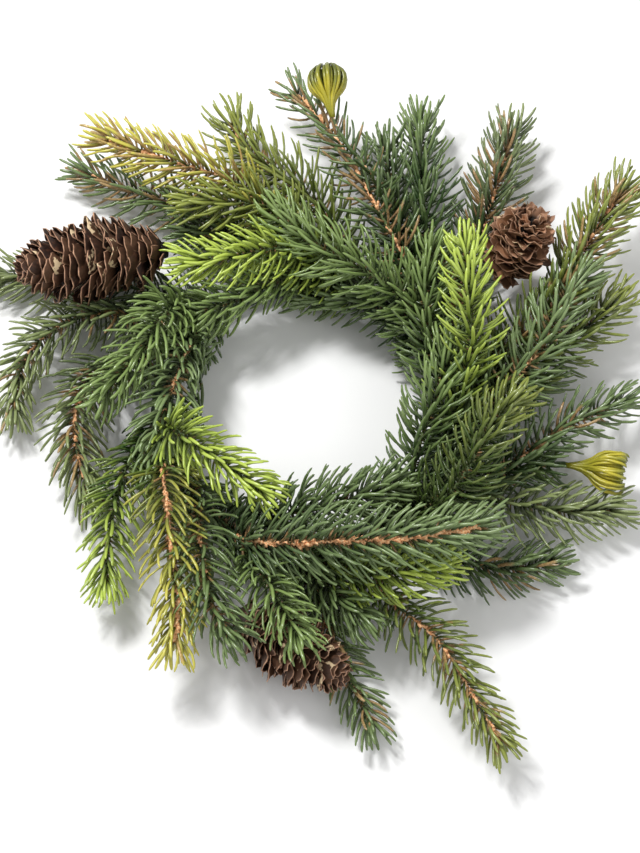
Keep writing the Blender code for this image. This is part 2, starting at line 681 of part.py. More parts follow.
def make_sprig(stem):
    """A slim square stem with every needle raised from a face of its own."""
    bm = bmesh.new()
    root = ring(bm, stem, 0, 0, STEM_SIDES, stem.radius(0))
    bm.faces.new(list(reversed(root)))
    below = root
    first = stem.stations[0] - NEEDLE_WIDTH
    bends = max(1, round(first / BEND_PITCH))
    for k in range(1, bends):
        above = ring(bm, stem, first * k / bends, 0, STEM_SIDES, stem.radius(first * k / bends))
        band(bm, below, above)
        below = above
    for station, distance in enumerate(stem.stations):
        turn = station_turn(station)
        low = ring(bm, stem, distance - NEEDLE_WIDTH / 2, turn, STEM_SIDES, stem.radius(distance))
        high = ring(bm, stem, distance + NEEDLE_WIDTH / 2, turn, STEM_SIDES, stem.radius(distance))
        if station:
            twisted_band(bm, below, low)
        else:
            band(bm, below, low)
        for quarter in range(STEM_SIDES):
            after = (quarter + 1) % STEM_SIDES
            face = (low[quarter], low[after], high[after], high[quarter])
            tip = stem.needles.get((station, quarter))
            if tip is None:
                bm.faces.new(face)
            else:
                cap(bm, face, bm.verts.new(tip))
        below = high
    leader = stem.line[-1] + LEADER_LENGTH * stem.tangents[-1]
    cap(bm, below, bm.verts.new(leader))
    return finish(stem.name, bm, stem.colour, 0.45)


def make_bud(stem):
    """A short stalk whose last rings of needles bow out and curl in over its end."""
    bm = bmesh.new()
    below = ring(bm, stem, 0, 0, STEM_SIDES, stem.radius(0))
    bm.faces.new(list(reversed(below)))
    first = stem.length - BUD_HEIGHT * 0.75
    bends = max(2, round(first / BEND_PITCH))
    for k in range(1, bends):
        above = ring(bm, stem, first * k / bends, 0, STEM_SIDES, stem.radius(first * k / bends))
        band(bm, below, above)
        below = above
    for level in range(BUD_RINGS):
        distance = first + BUD_PITCH * level
        turn = station_turn(level)
        place, tangent, side, up = stem.at(distance)
        low = ring(bm, stem, distance - NEEDLE_WIDTH / 2, turn, STEM_SIDES, STEM_ROOT_RADIUS)
        high = ring(bm, stem, distance + NEEDLE_WIDTH / 2, turn, STEM_SIDES, STEM_ROOT_RADIUS)
        if level:
            twisted_band(bm, below, low)
        else:
            band(bm, below, low)
        bow = 1 - BUD_SHRINK * level
        for quarter in range(STEM_SIDES):
            after = (quarter + 1) % STEM_SIDES
            about = turn + math.tau * (quarter + 0.5) / STEM_SIDES
            out = math.cos(about) * side + math.sin(about) * up
            across = math.cos(about) * up - math.sin(about) * side
            middle = place + out * BUD_REACH * bow + tangent * BUD_HEIGHT * 0.42 * bow
            half = 0.6 * NEEDLE_WIDTH * across
            thick = -0.35 * NEEDLE_WIDTH * out
            elbow = [bm.verts.new(middle + offset) for offset in
                     (-half - thick, half - thick, half + thick, -half + thick)]
            face = [low[quarter], low[after], high[after], high[quarter]]
            band(bm, face, elbow)
            reach = place + out * BUD_REACH * 0.4 * bow**2 + tangent * BUD_HEIGHT * (0.88 - 0.1 * level)
            cap(bm, elbow, bm.verts.new(reach))
        below = high
    place, tangent, _, _ = stem.at(stem.length)
    cap(bm, below, bm.verts.new(place + BUD_TIP * tangent))
    return finish(stem.name, bm, "bud", 0.45)


def raise_scale(bm, corners, root, along, out, across, length, width, opening):
    """Raise one scale from a diamond of the core: a wedge with a rounded outer rim."""
    low, right, high, left = corners
    reach = math.cos(opening) * along + math.sin(opening) * out
    rim = [
        bm.verts.new(root + SCALE_SHOULDER * length * reach - 0.5 * width * across),
        bm.verts.new(root + length * reach),
        bm.verts.new(root + SCALE_SHOULDER * length * reach + 0.5 * width * across),
    ]
    bm.faces.new((left, low, rim[0]))
    bm.faces.new((low, rim[1], rim[0]))
    bm.faces.new((low, rim[2], rim[1]))
    bm.faces.new((low, right, rim[2]))
    bm.faces.new((right, high, rim[2]))
    bm.faces.new((high, rim[1], rim[2]))
    bm.faces.new((high, rim[0], rim[1]))
    bm.faces.new((high, left, rim[0]))


def make_cone(stem):
    """A wired stalk, then a core whose diamonds are all raised into staggered scales."""
    bm = bmesh.new()
    begin, end, greatest = cone_stretch(stem)
    sides = CONE_AROUND
    below = ring(bm, stem, 0, 0, sides, STALK_RADIUS)
    bm.faces.new(list(reversed(below)))
    bends = max(2, round(begin / BEND_PITCH))
    for k in range(1, bends):
        above = ring(bm, stem, begin * k / bends, 0, sides, STALK_RADIUS)
        band(bm, below, above)
        below = above
    rows = []
    for row in range(CONE_ROWS + 1):
        share = row / CONE_ROWS
        distance = begin + (end - begin) * (0.02 + 0.88 * share)
        core = max(CONE_CORE * cone_profile(share * 0.92, greatest), CONE_CORE_LEAST)
        rows.append((distance, core, ring(bm, stem, distance, math.pi * row / sides, sides, core)))
    band(bm, below, rows[0][2])
    first, last = rows[0][2], rows[-1][2]
    for k in range(sides):
        bm.faces.new((first[k], first[(k + 1) % sides], rows[1][2][k]))
    for row in range(CONE_ROWS - 1):
        lows, mids, highs = rows[row][2], rows[row + 1][2], rows[row + 2][2]
        distance, core, _ = rows[row + 1]
        share = (distance - begin) / (end - begin)
        outer = cone_profile(share, greatest)
        opening = SCALE_OPEN + (SCALE_OPEN_AT_APEX - SCALE_OPEN) * max(0, (share - 0.55) / 0.45) ** 1.3
        length = (outer - core) / math.sin(SCALE_OPEN)
        place, tangent, side, up = stem.at(distance)
        for k in range(sides):
            turn = math.pi * row / sides + math.tau * k / sides
            out = math.cos(turn) * side + math.sin(turn) * up
            across = math.cos(turn) * up - math.sin(turn) * side
            left, right = mids[(k - 1) % sides], mids[k]
            top = highs[(k - 1) % sides]
            root = place + core * math.cos(math.pi / sides) * out
            girth = math.tau * (core + SCALE_SHOULDER * length * math.sin(opening))
            width = girth / sides * SCALE_WIDTH
            raise_scale(bm, (lows[k], right, top, left), root, tangent, out, across, length, width, opening)
    for k in range(sides):
        bm.faces.new((last[(k - 1) % sides], rows[-2][2][k], last[k]))
    cap(bm, last, bm.verts.new(stem.at(end)[0]))
    return finish(stem.name, bm, "cone", 0.7)


def main():
    clear_scene()
    make_hoop()
    stems = plan_stems()
    place_needles(stems)
    for stem in stems:
        if stem.colour == "cone":
            make_cone(stem)
        elif stem.colour == "bud":
            make_bud(stem)
        else:
            make_sprig(stem)


main()
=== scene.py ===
import math
import random

import bpy
import numpy as np
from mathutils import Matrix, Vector


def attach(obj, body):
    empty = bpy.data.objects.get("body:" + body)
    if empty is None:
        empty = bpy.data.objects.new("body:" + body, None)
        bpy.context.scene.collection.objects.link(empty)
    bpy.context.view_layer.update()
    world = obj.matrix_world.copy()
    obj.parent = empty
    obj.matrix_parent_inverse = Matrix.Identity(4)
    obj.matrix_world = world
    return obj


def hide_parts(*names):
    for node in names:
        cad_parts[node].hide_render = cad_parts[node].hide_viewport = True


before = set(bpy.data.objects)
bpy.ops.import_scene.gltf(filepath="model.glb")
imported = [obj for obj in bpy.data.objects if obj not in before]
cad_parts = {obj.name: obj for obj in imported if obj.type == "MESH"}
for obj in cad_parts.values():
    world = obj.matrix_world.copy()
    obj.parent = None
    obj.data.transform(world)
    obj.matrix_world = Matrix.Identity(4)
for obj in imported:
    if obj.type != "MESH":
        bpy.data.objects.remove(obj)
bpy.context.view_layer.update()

# Spruce candle ring: moulded sprigs, curled buds and real cones on a taped wire hoop.
# Metres; +Z is up, +Y is the back of the ring. The stems' lines repeat those of part.py.
MM = 0.001
SEED = 7

# Hoop, the stems' feet on it, and the oval hole that the needles leave free.
HOOP_RADIUS = 76 * MM
HOOP_TUBE = 6 * MM
HOOP_SIDES = 10
HOOP_HEIGHT = HOOP_TUBE * math.cos(math.pi / HOOP_SIDES)
HOOP_SAMPLES = 96
HOLE_MIDDLE = (-1 * MM, 3 * MM)
HOLE_HALF = (53 * MM, 48.5 * MM)
FLOOR_ROOM = 0.8 * MM
SEAT_GAP = 0.4 * MM
FOOT_LENGTH = 6 * MM
FOOT_PITCH = math.radians(7.2)
FOOT_SIDES = (18, 54, 90, 126)
FOOT_LEAD_LEAST = math.radians(8)
FOOT_LEAD_MOST = math.radians(34)
FOOT_LEAD_RISE = 0.45
FOOT_LEAD_SHARES = (0.25, 0.75)
FOOT_ROUNDS = 400
STEM_SIDES = 4
STEM_ROOT_RADIUS = 1.8 * MM
STEM_TIP_RADIUS = 1.1 * MM
PATH_STEP = 5 * MM
PATH_SAMPLES = 24

# Lifting of crossing stems, as in part.py.
STEM_GIRTH = 4.2 * MM
HOOP_GIRTH = 7.5 * MM
STEM_FLOOR = 9 * MM
LIFT_ROUNDS = 140
LIFT_GAIN = 0.6
LIFT_REACH = 15 * MM
STIFFNESS = 0.5
TENSION = 0.1
HOLD = 0.04
LIFT_TILT = math.radians(68)
LIFT = np.array([0.0, -math.cos(LIFT_TILT), math.sin(LIFT_TILT)])

# Cones and buds, as in part.py. A cone widens from its base to its shoulder, then falls to its tip.
CONE_CORE = 0.34
CONE_CORE_LEAST = 1.2 * MM
CONE_BASE = 0.62
CONE_SHOULDER = 0.36
CONE_FALL, CONE_FALL_POWER = 0.66, 2.1
CONE_TIP, CONE_ROUND = 0.04, 0.62
CONE_LEAD = 9 * MM
CONE_AIR = 1.5 * MM
STALK_RADIUS = 1.3 * MM
BUD_REACH = 8.5 * MM
BUD_HEIGHT = 19 * MM
BUD_AIR = 4 * MM
BUD_POINTS = 5

# Fine needles: one at each step along the stem, a golden angle further round. A needle broadens
# from its foot, tapers a little and rounds off at its end.
NEEDLE_STEP = 0.6 * MM
NEEDLE_LENGTH = 22 * MM
NEEDLE_HALF_WIDTH = 0.95 * MM
NEEDLE_HALF_DEPTH = 0.72 * MM
NEEDLE_SIDES = 6
NEEDLE_RINGS = (0.0, 0.14, 0.36, 0.6, 0.84, 0.96)
NEEDLE_FOOT, NEEDLE_FOOT_LENGTH = (0.66, 0.34), 0.22
NEEDLE_TAPER = 0.1
NEEDLE_END, NEEDLE_END_LENGTH = 0.84, 0.165
NEEDLE_GAP = 1.25 * MM
NEEDLE_LEAST_GAP = 0.4 * MM
STEM_FINE = 0.6
TIP_BACK = 10 * MM
ROOT_LEAN = math.radians(64)
TIP_LEAN = math.radians(32)
LEAN_CURVE = 2.6
SWEEP = 4.0
SWEEP_REACH = 0.5
BOW = math.radians(42)
SWAY = 0.6
WOBBLE = math.radians(9)
BEND_STEPS = 24
GOLDEN = math.radians(137.5)
PARTED = math.radians(26)

# Ways to bend or shorten a needle that would touch something: swing, tilt (degrees), length.
NEEDLE_TRIES = (
    (0, 0, 1.0), (12, 0, 1.0), (-12, 0, 1.0), (0, -10, 1.0), (22, -6, 0.97), (-22, -6, 0.97),
    (0, 10, 0.95), (14, -16, 0.95), (-14, -16, 0.95), (34, -8, 0.9), (-34, -8, 0.9),
    (0, -22, 0.85), (0, -12, 0.7), (24, -18, 0.7), (-24, -18, 0.7), (0, -20, 0.5),
)

# How a sprig's needles grow: their length, the youth added to their colour, their curl, their
# number, and the share that is tanned near the tip.
USUAL = (1, 0, 1, 1, 0)

# Sprigs: name, slot, look (how much orange shows), how the needles grow, and the points (mm)
# that the leafy part of the stem runs through.
SPRIGS = (
    ("top_long", "dark", "parted", (1.05, 0.15, 0.8, 0.62, 0.4),
     ((53, 82, 44), (44, 96, 46), (26, 137, 44), (8, 168, 35), (-8, 192, 28))),
    ("top_short", "dark", "plain", (1.15, -0.2, 1, 1, 0),
     ((55, 98, 30), (49, 129, 30), (47, 159, 28))),
    ("top_wide", "green", "plain", (1.25, -0.4, 1, 1, 0),
     ((68, 90, 28), (67, 132, 26), (67, 176, 24))),
    ("top_deep", "dark", "plain", USUAL,
     ((53, 53, 24), (23, 60, 22), (-7, 61, 22))),
    ("top_right", "grey", "parted", (1.2, -0.4, 1, 1.3, 0.2),
     ((98, 92, 28), (111, 138, 26), (120, 171, 24))),
    ("right_bronze", "olive", "parted", (1.25, -0.1, 0.9, 1.3, 0.2),
     ((134, 48, 36), (147, 72, 40), (164, 99, 44), (180, 122, 44))),
    ("right_outer", "olive", "plain", (1.25, -0.3, 1.2, 1, 0),
     ((127, 22, 28), (155, 41, 30), (174, 62, 28))),
    ("right_blue", "blue", "flecked", (1.15, 0.3, 1, 1.05, 0),
     ((106, 1, 44), (122, 14, 46), (134, 39, 48), (154, 69, 46))),
    ("right_short", "dark", "plain", USUAL,
     ((108, -2, 24), (138, 17, 20))),
    ("right_lime", "lime", "plain", (1.05, 0.1, 1, 1, 0),
     ((88, 16, 62), (87, 45, 66), (86, 80, 64))),
    ("right_upper_inner", "green", "plain", (1.1, 0.1, 1.2, 1, 0),
     ((68, 23, 44), (66, 58, 44), (73, 89, 42))),
    ("right_lower_inner", "green", "plain", (1.15, 0, 1.3, 1.1, 0),
     ((60, -36, 44), (64, -22, 46), (75, 7, 48), (79, 30, 46))),
    ("right_over", "olive", "plain", (1.1, -0.4, 1.3, 1.1, 0),
     ((82, -56, 56), (96, -27, 58), (115, -6, 54))),
    ("right_long", "dark", "flecked", (1.05, -0.1, 1, 0.9, 0.05),
     ((97, -49, 34), (136, -19, 30), (178, 2, 26))),
    ("right_pale", "grey", "plain", (1.1, 0.25, 1.2, 1, 0),
     ((98, -56, 24), (135, -61, 20), (171, -58, 18))),
    ("lower_right_shade", "dark", "plain", (1, -0.15, 1.2, 1, 0.12),
     ((85, -88, 14), (114, -90, 12), (140, -83, 12))),
    ("bottom_long", "blue", "bare", (1.15, 0.1, 1.1, 1.1, 0),
     ((-20, -90, 56), (19, -90, 60), (49, -89, 60), (79, -84, 58), (98, -78, 54))),
    ("bottom_inner", "dark", "plain", (1.1, 0.2, 1.4, 1.5, 0),
     ((-11, -70, 40), (22, -63, 42), (57, -50, 40))),
    ("bottom_lime", "lime", "plain", (1.05, 0, 1.2, 1.15, 0),
     ((32, -102, 42), (54, -101, 42), (79, -92, 38))),
    ("bottom_right_long", "olive", "parted", (1, -0.15, 0.9, 0.9, 0),
     ((47, -114, 28), (70, -132, 26), (84, -157, 24), (103, -189, 22))),
    ("bottom_short", "dark", "flecked", (0.95, 0.45, 1, 0.9, 0.15),
     ((22, -146, 12), (30, -159, 12), (38, -179, 12))),
    ("bottom_middle", "dark", "plain", (1.15, 0.3, 1.5, 1.2, 0),
     ((14, -108, 36), (37, -126, 32))),
    ("bottom_over_cone", "green", "plain", (1, 0.3, 1.6, 1.1, 0),
     ((-20, -103, 46), (-6, -126, 46), (2, -142, 42))),
    ("lower_left_dark", "dark", "flecked", (1.15, 0.8, 1.3, 1, 0),
     ((-55, -63, 36), (-50, -94, 42), (-43, -124, 46), (-30, -139, 44))),
    ("lower_left_yellow", "yellow", "bare", (1.1, -0.1, 1.2, 1, 0.03),
     ((-71, -47, 44), (-67, -79, 44), (-62, -115, 40), (-65, -144, 34))),
    ("lower_left_lime", "lime", "plain", (1, -0.15, 1.1, 1, 0),
     ((-92, -40, 32), (-98, -66, 30), (-101, -110, 24))),
    ("left_inner_lime", "lime", "plain", (1, 0.15, 1.1, 1, 0),
     ((-62, -31, 58), (-39, -49, 58), (-12, -66, 52))),
    ("left_blue", "blue", "flecked", (1.15, 0.25, 1.6, 1.1, 0),
     ((-60, 20, 44), (-71, -11, 44), (-76, -45, 38))),
    ("left_deep", "dark", "plain", (0.6, 0, 1, 1, 0),
     ((-52, -4, 24), (-56, 23, 24), (-50, 47, 24))),
    ("left_over", "green", "plain", (1.15, 0.6, 1.5, 1.1, 0),
     ((-72, 39, 54), (-83, 17, 52), (-99, 0, 46), (-110, -10, 42))),
    ("left_lower", "grey", "parted", (1.15, 0, 1.1, 1.1, 0.05),
     ((-113, 14, 26), (-122, -13, 22), (-119, -30, 20), (-108, -59, 16))),
    ("left_outer", "grey", "flecked", (1, 0.1, 1.2, 1.1, 0.05),
     ((-111, 48, 32), (-138, 38, 26), (-152, 20, 20), (-155, -11, 14))),
    ("left_far", "grey", "plain", (1.2, 0, 1, 1, 0.05),
     ((-108, 76, 14), (-140, 77, 13), (-178, 79, 12))),
    ("upper_left_inner", "green", "plain", (1.1, 0.6, 1.3, 1, 0),
     ((-9, 65, 42), (-33, 52, 42), (-57, 44, 40), (-73, 41, 40))),
    ("upper_left_lime", "lime", "plain", (1.05, 0.35, 1.1, 1.05, 0),
     ((-9, 76, 56), (-35, 68, 58), (-69, 66, 56))),
    ("upper_left_glossy", "green", "plain", (1.2, 0.45, 1.25, 1.05, 0),
     ((52, 51, 50), (25, 65, 58), (-1, 80, 60), (-18, 98, 58))),
    ("upper_left_deep", "dark", "plain", USUAL,
     ((-29, 97, 26), (-54, 100, 24), (-73, 102, 22))),
    ("upper_left_olive", "olive", "plain", (1.15, 0.1, 1, 1, 0),
     ((-17, 104, 48), (-44, 106, 48), (-68, 108, 44))),
    ("upper_left_shade", "dark", "flecked", (1.1, 0.35, 0.9, 0.9, 0.25),
     ((-56, 110, 26), (-96, 127, 22), (-130, 144, 18))),
    ("upper_left_yellow", "yellow", "parted", (1.15, 0.15, 0.9, 1, 0.25),
     ((-29, 119, 40), (-73, 134, 44), (-116, 152, 42))),
    ("upper_left_dull", "olive", "flecked", (1.25, 0, 1, 1, 0),
     ((10, 113, 32), (-15, 134, 30), (-32, 151, 28), (-43, 174, 30))),
)

# Buds: name and the points that the stalk runs through, the last in the middle of the bud.
BUDS = (
    ("bud_top", ((39, 121, 49), (25, 136, 55), (16, 153, 59), (14, 173, 60))),
    ("bud_right", ((114, -39, 24), (140, -37, 26), (159, -41, 28))),
)

# Cones: name, greatest radius (mm), the stem end and the apex.
CONES = (
    ("cone_left", 22, (-75, 84, 34), (-147, 62, 56)),
    ("cone_right", 20, (111, 77, 22), (125, 88, 78)),
    ("cone_bottom", 20, (-34, -117, 22), (21, -151, 26)),
)

# Greens (sRGB, 0 to 255): the old needles near the ring, and the young ones at a sprig's tip.
GREENS = {
    "dark": ((44, 66, 35), (104, 124, 74)),
    "green": ((52, 76, 38), (124, 146, 82)),
    "blue": ((56, 78, 44), (120, 140, 90)),
    "grey": ((60, 78, 46), (130, 142, 90)),
    "olive": ((68, 88, 38), (138, 147, 64)),
    "lime": ((56, 84, 36), (180, 200, 84)),
    "yellow": ((76, 98, 38), (200, 192, 84)),
}


def unit(vector):
    return vector / np.linalg.norm(vector)


def units(vectors):
    """Many vectors, each scaled to length 1."""
    return vectors / np.linalg.norm(vectors, axis=-1, keepdims=True)


def run_along(line):
    """Distance from a line's start to each of its points."""
    return np.concatenate([[0], np.cumsum(np.linalg.norm(np.diff(line, axis=0), axis=1))])


def between(at, run, values):
    """Rows of values, given at the distances in run, read off at other distances."""
    return np.stack([np.interp(at, run, values[:, k]) for k in range(3)], axis=1)


def risen(pair, share):
    """The first number, with the second added to it as the share goes from 0 to 1."""
    return pair[0] + pair[1] * share


def outward(turns, side, up):
    """The direction at each turn round a stem."""
    return np.cos(turns)[:, None] * side + np.sin(turns)[:, None] * up


def add_object(name, data):
    made = bpy.data.objects.new(name, data)
    bpy.context.scene.collection.objects.link(made)
    return made


# Stems' lines, worked out as in part.py so that each sprig stays on its CAD node.
def hoop_point(angle, side, offset):
    """A point beside the hoop: angle round it, side round its tube, offset from its middle."""
    across = HOOP_RADIUS + offset * math.cos(side)
    height = HOOP_HEIGHT + offset * math.sin(side)
    return np.array([across * math.cos(angle), across * math.sin(angle), height])


def foot_side(first):
    """The flat of the hoop's tube that faces a stem's first point."""
    across = math.hypot(first[0], first[1]) - HOOP_RADIUS
    wanted = math.degrees(math.atan2(first[2] - HOOP_HEIGHT, across))
    return math.radians(min(FOOT_SIDES, key=lambda flat: abs(flat - wanted)))


def foot_places(starts):
    """Where each stem's foot lies: side, angle and sense, spread along each side of the hoop."""
    angles = []
    for first, second in starts:
        turning = first[0] * (second[1] - first[1]) - first[1] * (second[0] - first[0])
        sense = 1.0 if turning > 0 else -1.0
        away = math.hypot(math.hypot(first[0], first[1]) - HOOP_RADIUS, first[2] - HOOP_HEIGHT)
        heading = unit(np.array(second[:2]) - np.array(first[:2]))
        askew = abs(first[0] * heading[1] - first[1] * heading[0]) / math.hypot(first[0], first[1])
        lead = FOOT_LEAD_LEAST + FOOT_LEAD_RISE * away / HOOP_RADIUS
        lead = lead * risen(FOOT_LEAD_SHARES, askew)
        angles.append(math.atan2(first[1], first[0]) - sense * min(lead, FOOT_LEAD_MOST))
    sides = [foot_side(first) for first, _ in starts]
    feet = {}
    for side in sorted(set(sides)):
        row = [k for k in range(len(starts)) if sides[k] == side]
        row.sort(key=lambda k: angles[k] % math.tau)
        place = [angles[k] % math.tau for k in row]
        for _ in range(FOOT_ROUNDS):
            for k in range(len(place)):
                after = (k + 1) % len(place)
                gap = place[after] - place[k] + (math.tau if after == 0 else 0)
                short = FOOT_PITCH - gap
                if short > 0:
                    place[k] -= short / 2
                    place[after] += short / 2
        for where, k in zip(place, row):
            first = starts[k][0]
            ahead = math.remainder(math.atan2(first[1], first[0]) - where, math.tau)
            feet[k] = (side, where, math.copysign(1.0, ahead))
    return [feet[k] for k in range(len(starts))]


def foot_points(place):
    """Two points along the hoop, over the flat that the foot lies on."""
    side, angle, sense = place
    offset = HOOP_HEIGHT + SEAT_GAP + STEM_ROOT_RADIUS * math.cos(math.pi / STEM_SIDES)
    half = 0.5 * sense * FOOT_LENGTH / HOOP_RADIUS
    return [hoop_point(angle - half, side, offset), hoop_point(angle + half, side, offset)]


def smooth_path(points, step=PATH_STEP):
    """Smooth curve through the points, whatever their spacing, sampled at an even step."""
    points = np.array(points, float)
    span = np.linalg.norm(np.diff(points, axis=0), axis=1)[:, None]
    slope = np.diff(points, axis=0) / span
    inner = (slope[:-1] * span[1:] + slope[1:] * span[:-1]) / (span[:-1] + span[1:])
    slopes = np.vstack([slope[:1], inner, slope[-1:]])
    fine = []
    for k, length in enumerate(span[:, 0]):
        for t in np.linspace(0, 1, PATH_SAMPLES, endpoint=False):
            fine.append(
                (2 * t**3 - 3 * t**2 + 1) * points[k] + (t**3 - 2 * t**2 + t) * length * slopes[k]
                + (3 * t**2 - 2 * t**3) * points[k + 1] + (t**3 - t**2) * length * slopes[k + 1]
            )
    fine.append(points[-1])
    return resample(np.array(fine), step)


def resample(line, step):
    """The same line with its points spread evenly, about a step apart."""
    run = run_along(line)
    count = max(2, round(run[-1] / step) + 1)
    return between(np.linspace(0, run[-1], count), run, line)


def lift_clear(rows):
    """Lift or lower crossing stems along LIFT, a little each round, until they clear.

    A row is a stem's line and, for each of its points, its girth, how freely it may be lifted
    and how freely it may bend.
    """
    lines, girths, frees, bends = zip(*rows)
    owner = np.concatenate([[k] * len(line) for k, line in enumerate(lines)])
    place = np.concatenate(lines)
    girth = np.concatenate(girths)
    free = np.concatenate(frees)
    bend = np.concatenate(bends)[:, None]
    start = place.copy()
    inner = np.zeros(len(owner), bool)
    inner[1:-1] = (owner[1:-1] == owner[:-2]) & (owner[1:-1] == owner[2:])
    deep = np.zeros(len(owner), bool)
    deep[2:-2] = (owner[2:-2] == owner[:-4]) & (owner[2:-2] == owner[4:])
    ends = np.cumsum([len(line) for line in lines])[:-1]
    apart = girth[:, None] + girth[None, :]
    other = owner[:, None] != owner[None, :]
    rank = place @ LIFT
    above = np.where(rank[:, None] >= rank[None, :], 1.0, -1.0)
    foot = (bend[:, 0] == 0) & (girth == STEM_GIRTH)
    above[:, foot] = 1.0
    above[foot, :] = -1.0
    for _ in range(LIFT_ROUNDS):
        height = place @ LIFT
        flat = place - height[:, None] * LIFT
        rise = height[:, None] - height[None, :]
        square = ((flat[:, None, :] - flat[None, :, :]) ** 2).sum(axis=2)
        need = np.sqrt(np.maximum(apart**2 - square, 0))
        short = np.where(other & (need > 0), need - rise * above, 0)
        short = np.maximum(short, 0) * above
        share = free[:, None] / np.maximum(free[:, None] + free[None, :], 0.01)
        push = (short * share).max(axis=1) + (short * share).min(axis=1)
        place = place + (LIFT_GAIN * free * push)[:, None] * LIFT
        middle = np.zeros_like(place)
        middle[1:-1] = 0.5 * (place[:-2] + place[2:]) - place[1:-1]
        middle[~inner] = 0
        spring = np.zeros_like(place)
        spring[2:-2] = (4 * (place[1:-3] + place[3:-1]) - place[:-4] - place[4:]) / 6 - place[2:-2]
        spring[~deep] = 0
        place = place + bend * (TENSION * middle + STIFFNESS * spring)
        drift = start - place
        drift -= (drift @ LIFT)[:, None] * LIFT
        place = place + HOLD * bend * drift
        keep_off_hoop(place, bend[:, 0])
        low = (bend[:, 0] > 0.5) & (place[:, 2] < STEM_FLOOR)
        place[low, 2] = STEM_FLOOR
    return np.split(place, ends)


def keep_off_hoop(place, bend):
    """Push points that have come too near the hoop straight out from its tube."""
    across = np.hypot(place[:, 0], place[:, 1])
    out = np.stack([across - HOOP_RADIUS, place[:, 2] - HOOP_HEIGHT], axis=1)
    away = np.maximum(np.hypot(out[:, 0], out[:, 1]), 0.1 * MM)
    least = HOOP_TUBE + STEM_ROOT_RADIUS + 2 * SEAT_GAP
    short = np.where(bend > 0.5, np.maximum(least - away, 0), 0)
    shift = out / away[:, None] * short[:, None]
    place[:, 0] += place[:, 0] / across * shift[:, 0]
    place[:, 1] += place[:, 1] / across * shift[:, 0]
    place[:, 2] += shift[:, 1]


def lift_shares(line):
    """How freely each point of a stem may be lifted and bent: neither at its foot."""
    run = np.arange(len(line)) * np.linalg.norm(line[1] - line[0])
    return np.clip((run - FOOT_LENGTH) / LIFT_REACH, 0, 1), np.where(run > FOOT_LENGTH, 1.0, 0.0)


def hoop_line():
    """Points along the middle of the hoop's tube."""
    turns = np.linspace(0, math.tau, HOOP_SAMPLES, endpoint=False)
    height = np.full(HOOP_SAMPLES, HOOP_HEIGHT)
    return np.stack([HOOP_RADIUS * np.cos(turns), HOOP_RADIUS * np.sin(turns), height], axis=1)


def cone_profile(u, greatest):
    """Outer radius of a cone at u, from its stem end (0) to its apex (1)."""
    if u < CONE_SHOULDER:
        rise = math.sin(math.pi / 2 * u / CONE_SHOULDER)
        return greatest * (CONE_BASE + (1 - CONE_BASE) * rise)
    fall = ((u - CONE_SHOULDER) / CONE_FALL) ** CONE_FALL_POWER
    return greatest * max(1 - fall, CONE_TIP) ** CONE_ROUND


def cone_row(name, foot, points):
    """A cone's row for lift_clear: a stalk that may move, and a body that stays where it is."""
    greatest = next(row[1] for row in CONES if row[0] == name) * MM
    base, apex = points[1:]
    stalk = smooth_path(foot + points[:2])
    count = round(np.linalg.norm(apex - base) / PATH_STEP)
    body = [base + (apex - base) * k / count for k in range(1, count + 1)]
    girth = [STEM_GIRTH] * len(stalk)
    girth += [cone_profile(k / count, greatest) + CONE_AIR for k in range(1, count + 1)]
    from_cone = np.clip((len(stalk) - 2 - np.arange(len(stalk))) / 4, 0, 1)
    free, bend = lift_shares(stalk)
    still = np.zeros(count)
    free = np.concatenate([free * from_cone, still])
    bend = np.concatenate([bend * (from_cone > 0), still])
    return np.concatenate([stalk, body]), np.array(girth), free, bend


def plan_stems():
    """Lay out every stem: its line after lifting, for sprigs, buds and cones alike."""
    runs = [("sprig_" + name, colour, points) for name, colour, _, _, points in SPRIGS]
    runs += [(name, "bud", points) for name, points in BUDS]
    runs = [(name, colour, [np.array(p) * MM for p in points]) for name, colour, points in runs]
    for name, _, base, apex in CONES:
        base, apex = np.array(base) * MM, np.array(apex) * MM
        runs.append((name, "cone", [base - CONE_LEAD * unit(apex - base), base, apex]))
    feet = foot_places([points[:2] for _, _, points in runs])
    rows = []
    for (name, colour, points), place in zip(runs, feet):
        foot = foot_points(place)
        if colour == "cone":
            rows.append(cone_row(name, foot, points))
            continue
        line = smooth_path(foot + points)
        girth = np.full(len(line), STEM_GIRTH)
        if colour == "bud":
            girth[-BUD_POINTS:] = BUD_REACH + BUD_AIR
        rows.append((line, girth, *lift_shares(line)))
    around, still = hoop_line(), np.zeros(HOOP_SAMPLES)
    lifted = lift_clear(rows + [(around, np.full(HOOP_SAMPLES, HOOP_GIRTH), still, still)])
    return [Stem(name, colour, line) for (name, colour, _), line in zip(runs, lifted)]


class Stem:
    """A stem's line, with the place and the frame at any distances along it."""

    def __init__(self, name, colour, line):
        self.name, self.colour, self.line = name, colour, line
        self.run = run_along(line)
        self.length = self.run[-1]
        steps = np.diff(line, axis=0)
        ahead = np.vstack([steps, steps[-1]])
        behind = np.vstack([steps[0], steps])
        self.tangents = np.array([unit(a + b) for a, b in zip(ahead, behind)])
        self.tangents[0] = unit(steps[0])

    def at(self, distances):
        """Places, tangents, the side seen from above and the direction up to the viewer."""
        tangents = units(between(distances, self.run, self.tangents))
        up = units(LIFT - (tangents @ LIFT)[:, None] * tangents)
        return between(distances, self.run, self.line), tangents, np.cross(tangents, up), up

    def radius(self, distances):
        return STEM_ROOT_RADIUS + (STEM_TIP_RADIUS - STEM_ROOT_RADIUS) * distances / self.length


def cone_stretch(stem):
    """Where on its line a cone's body starts and ends, and its greatest radius."""
    row = next(row for row in CONES if row[0] == stem.name)
    body = np.linalg.norm(np.array(row[3]) - np.array(row[2])) * MM
    return stem.length - body, stem.length, row[1] * MM


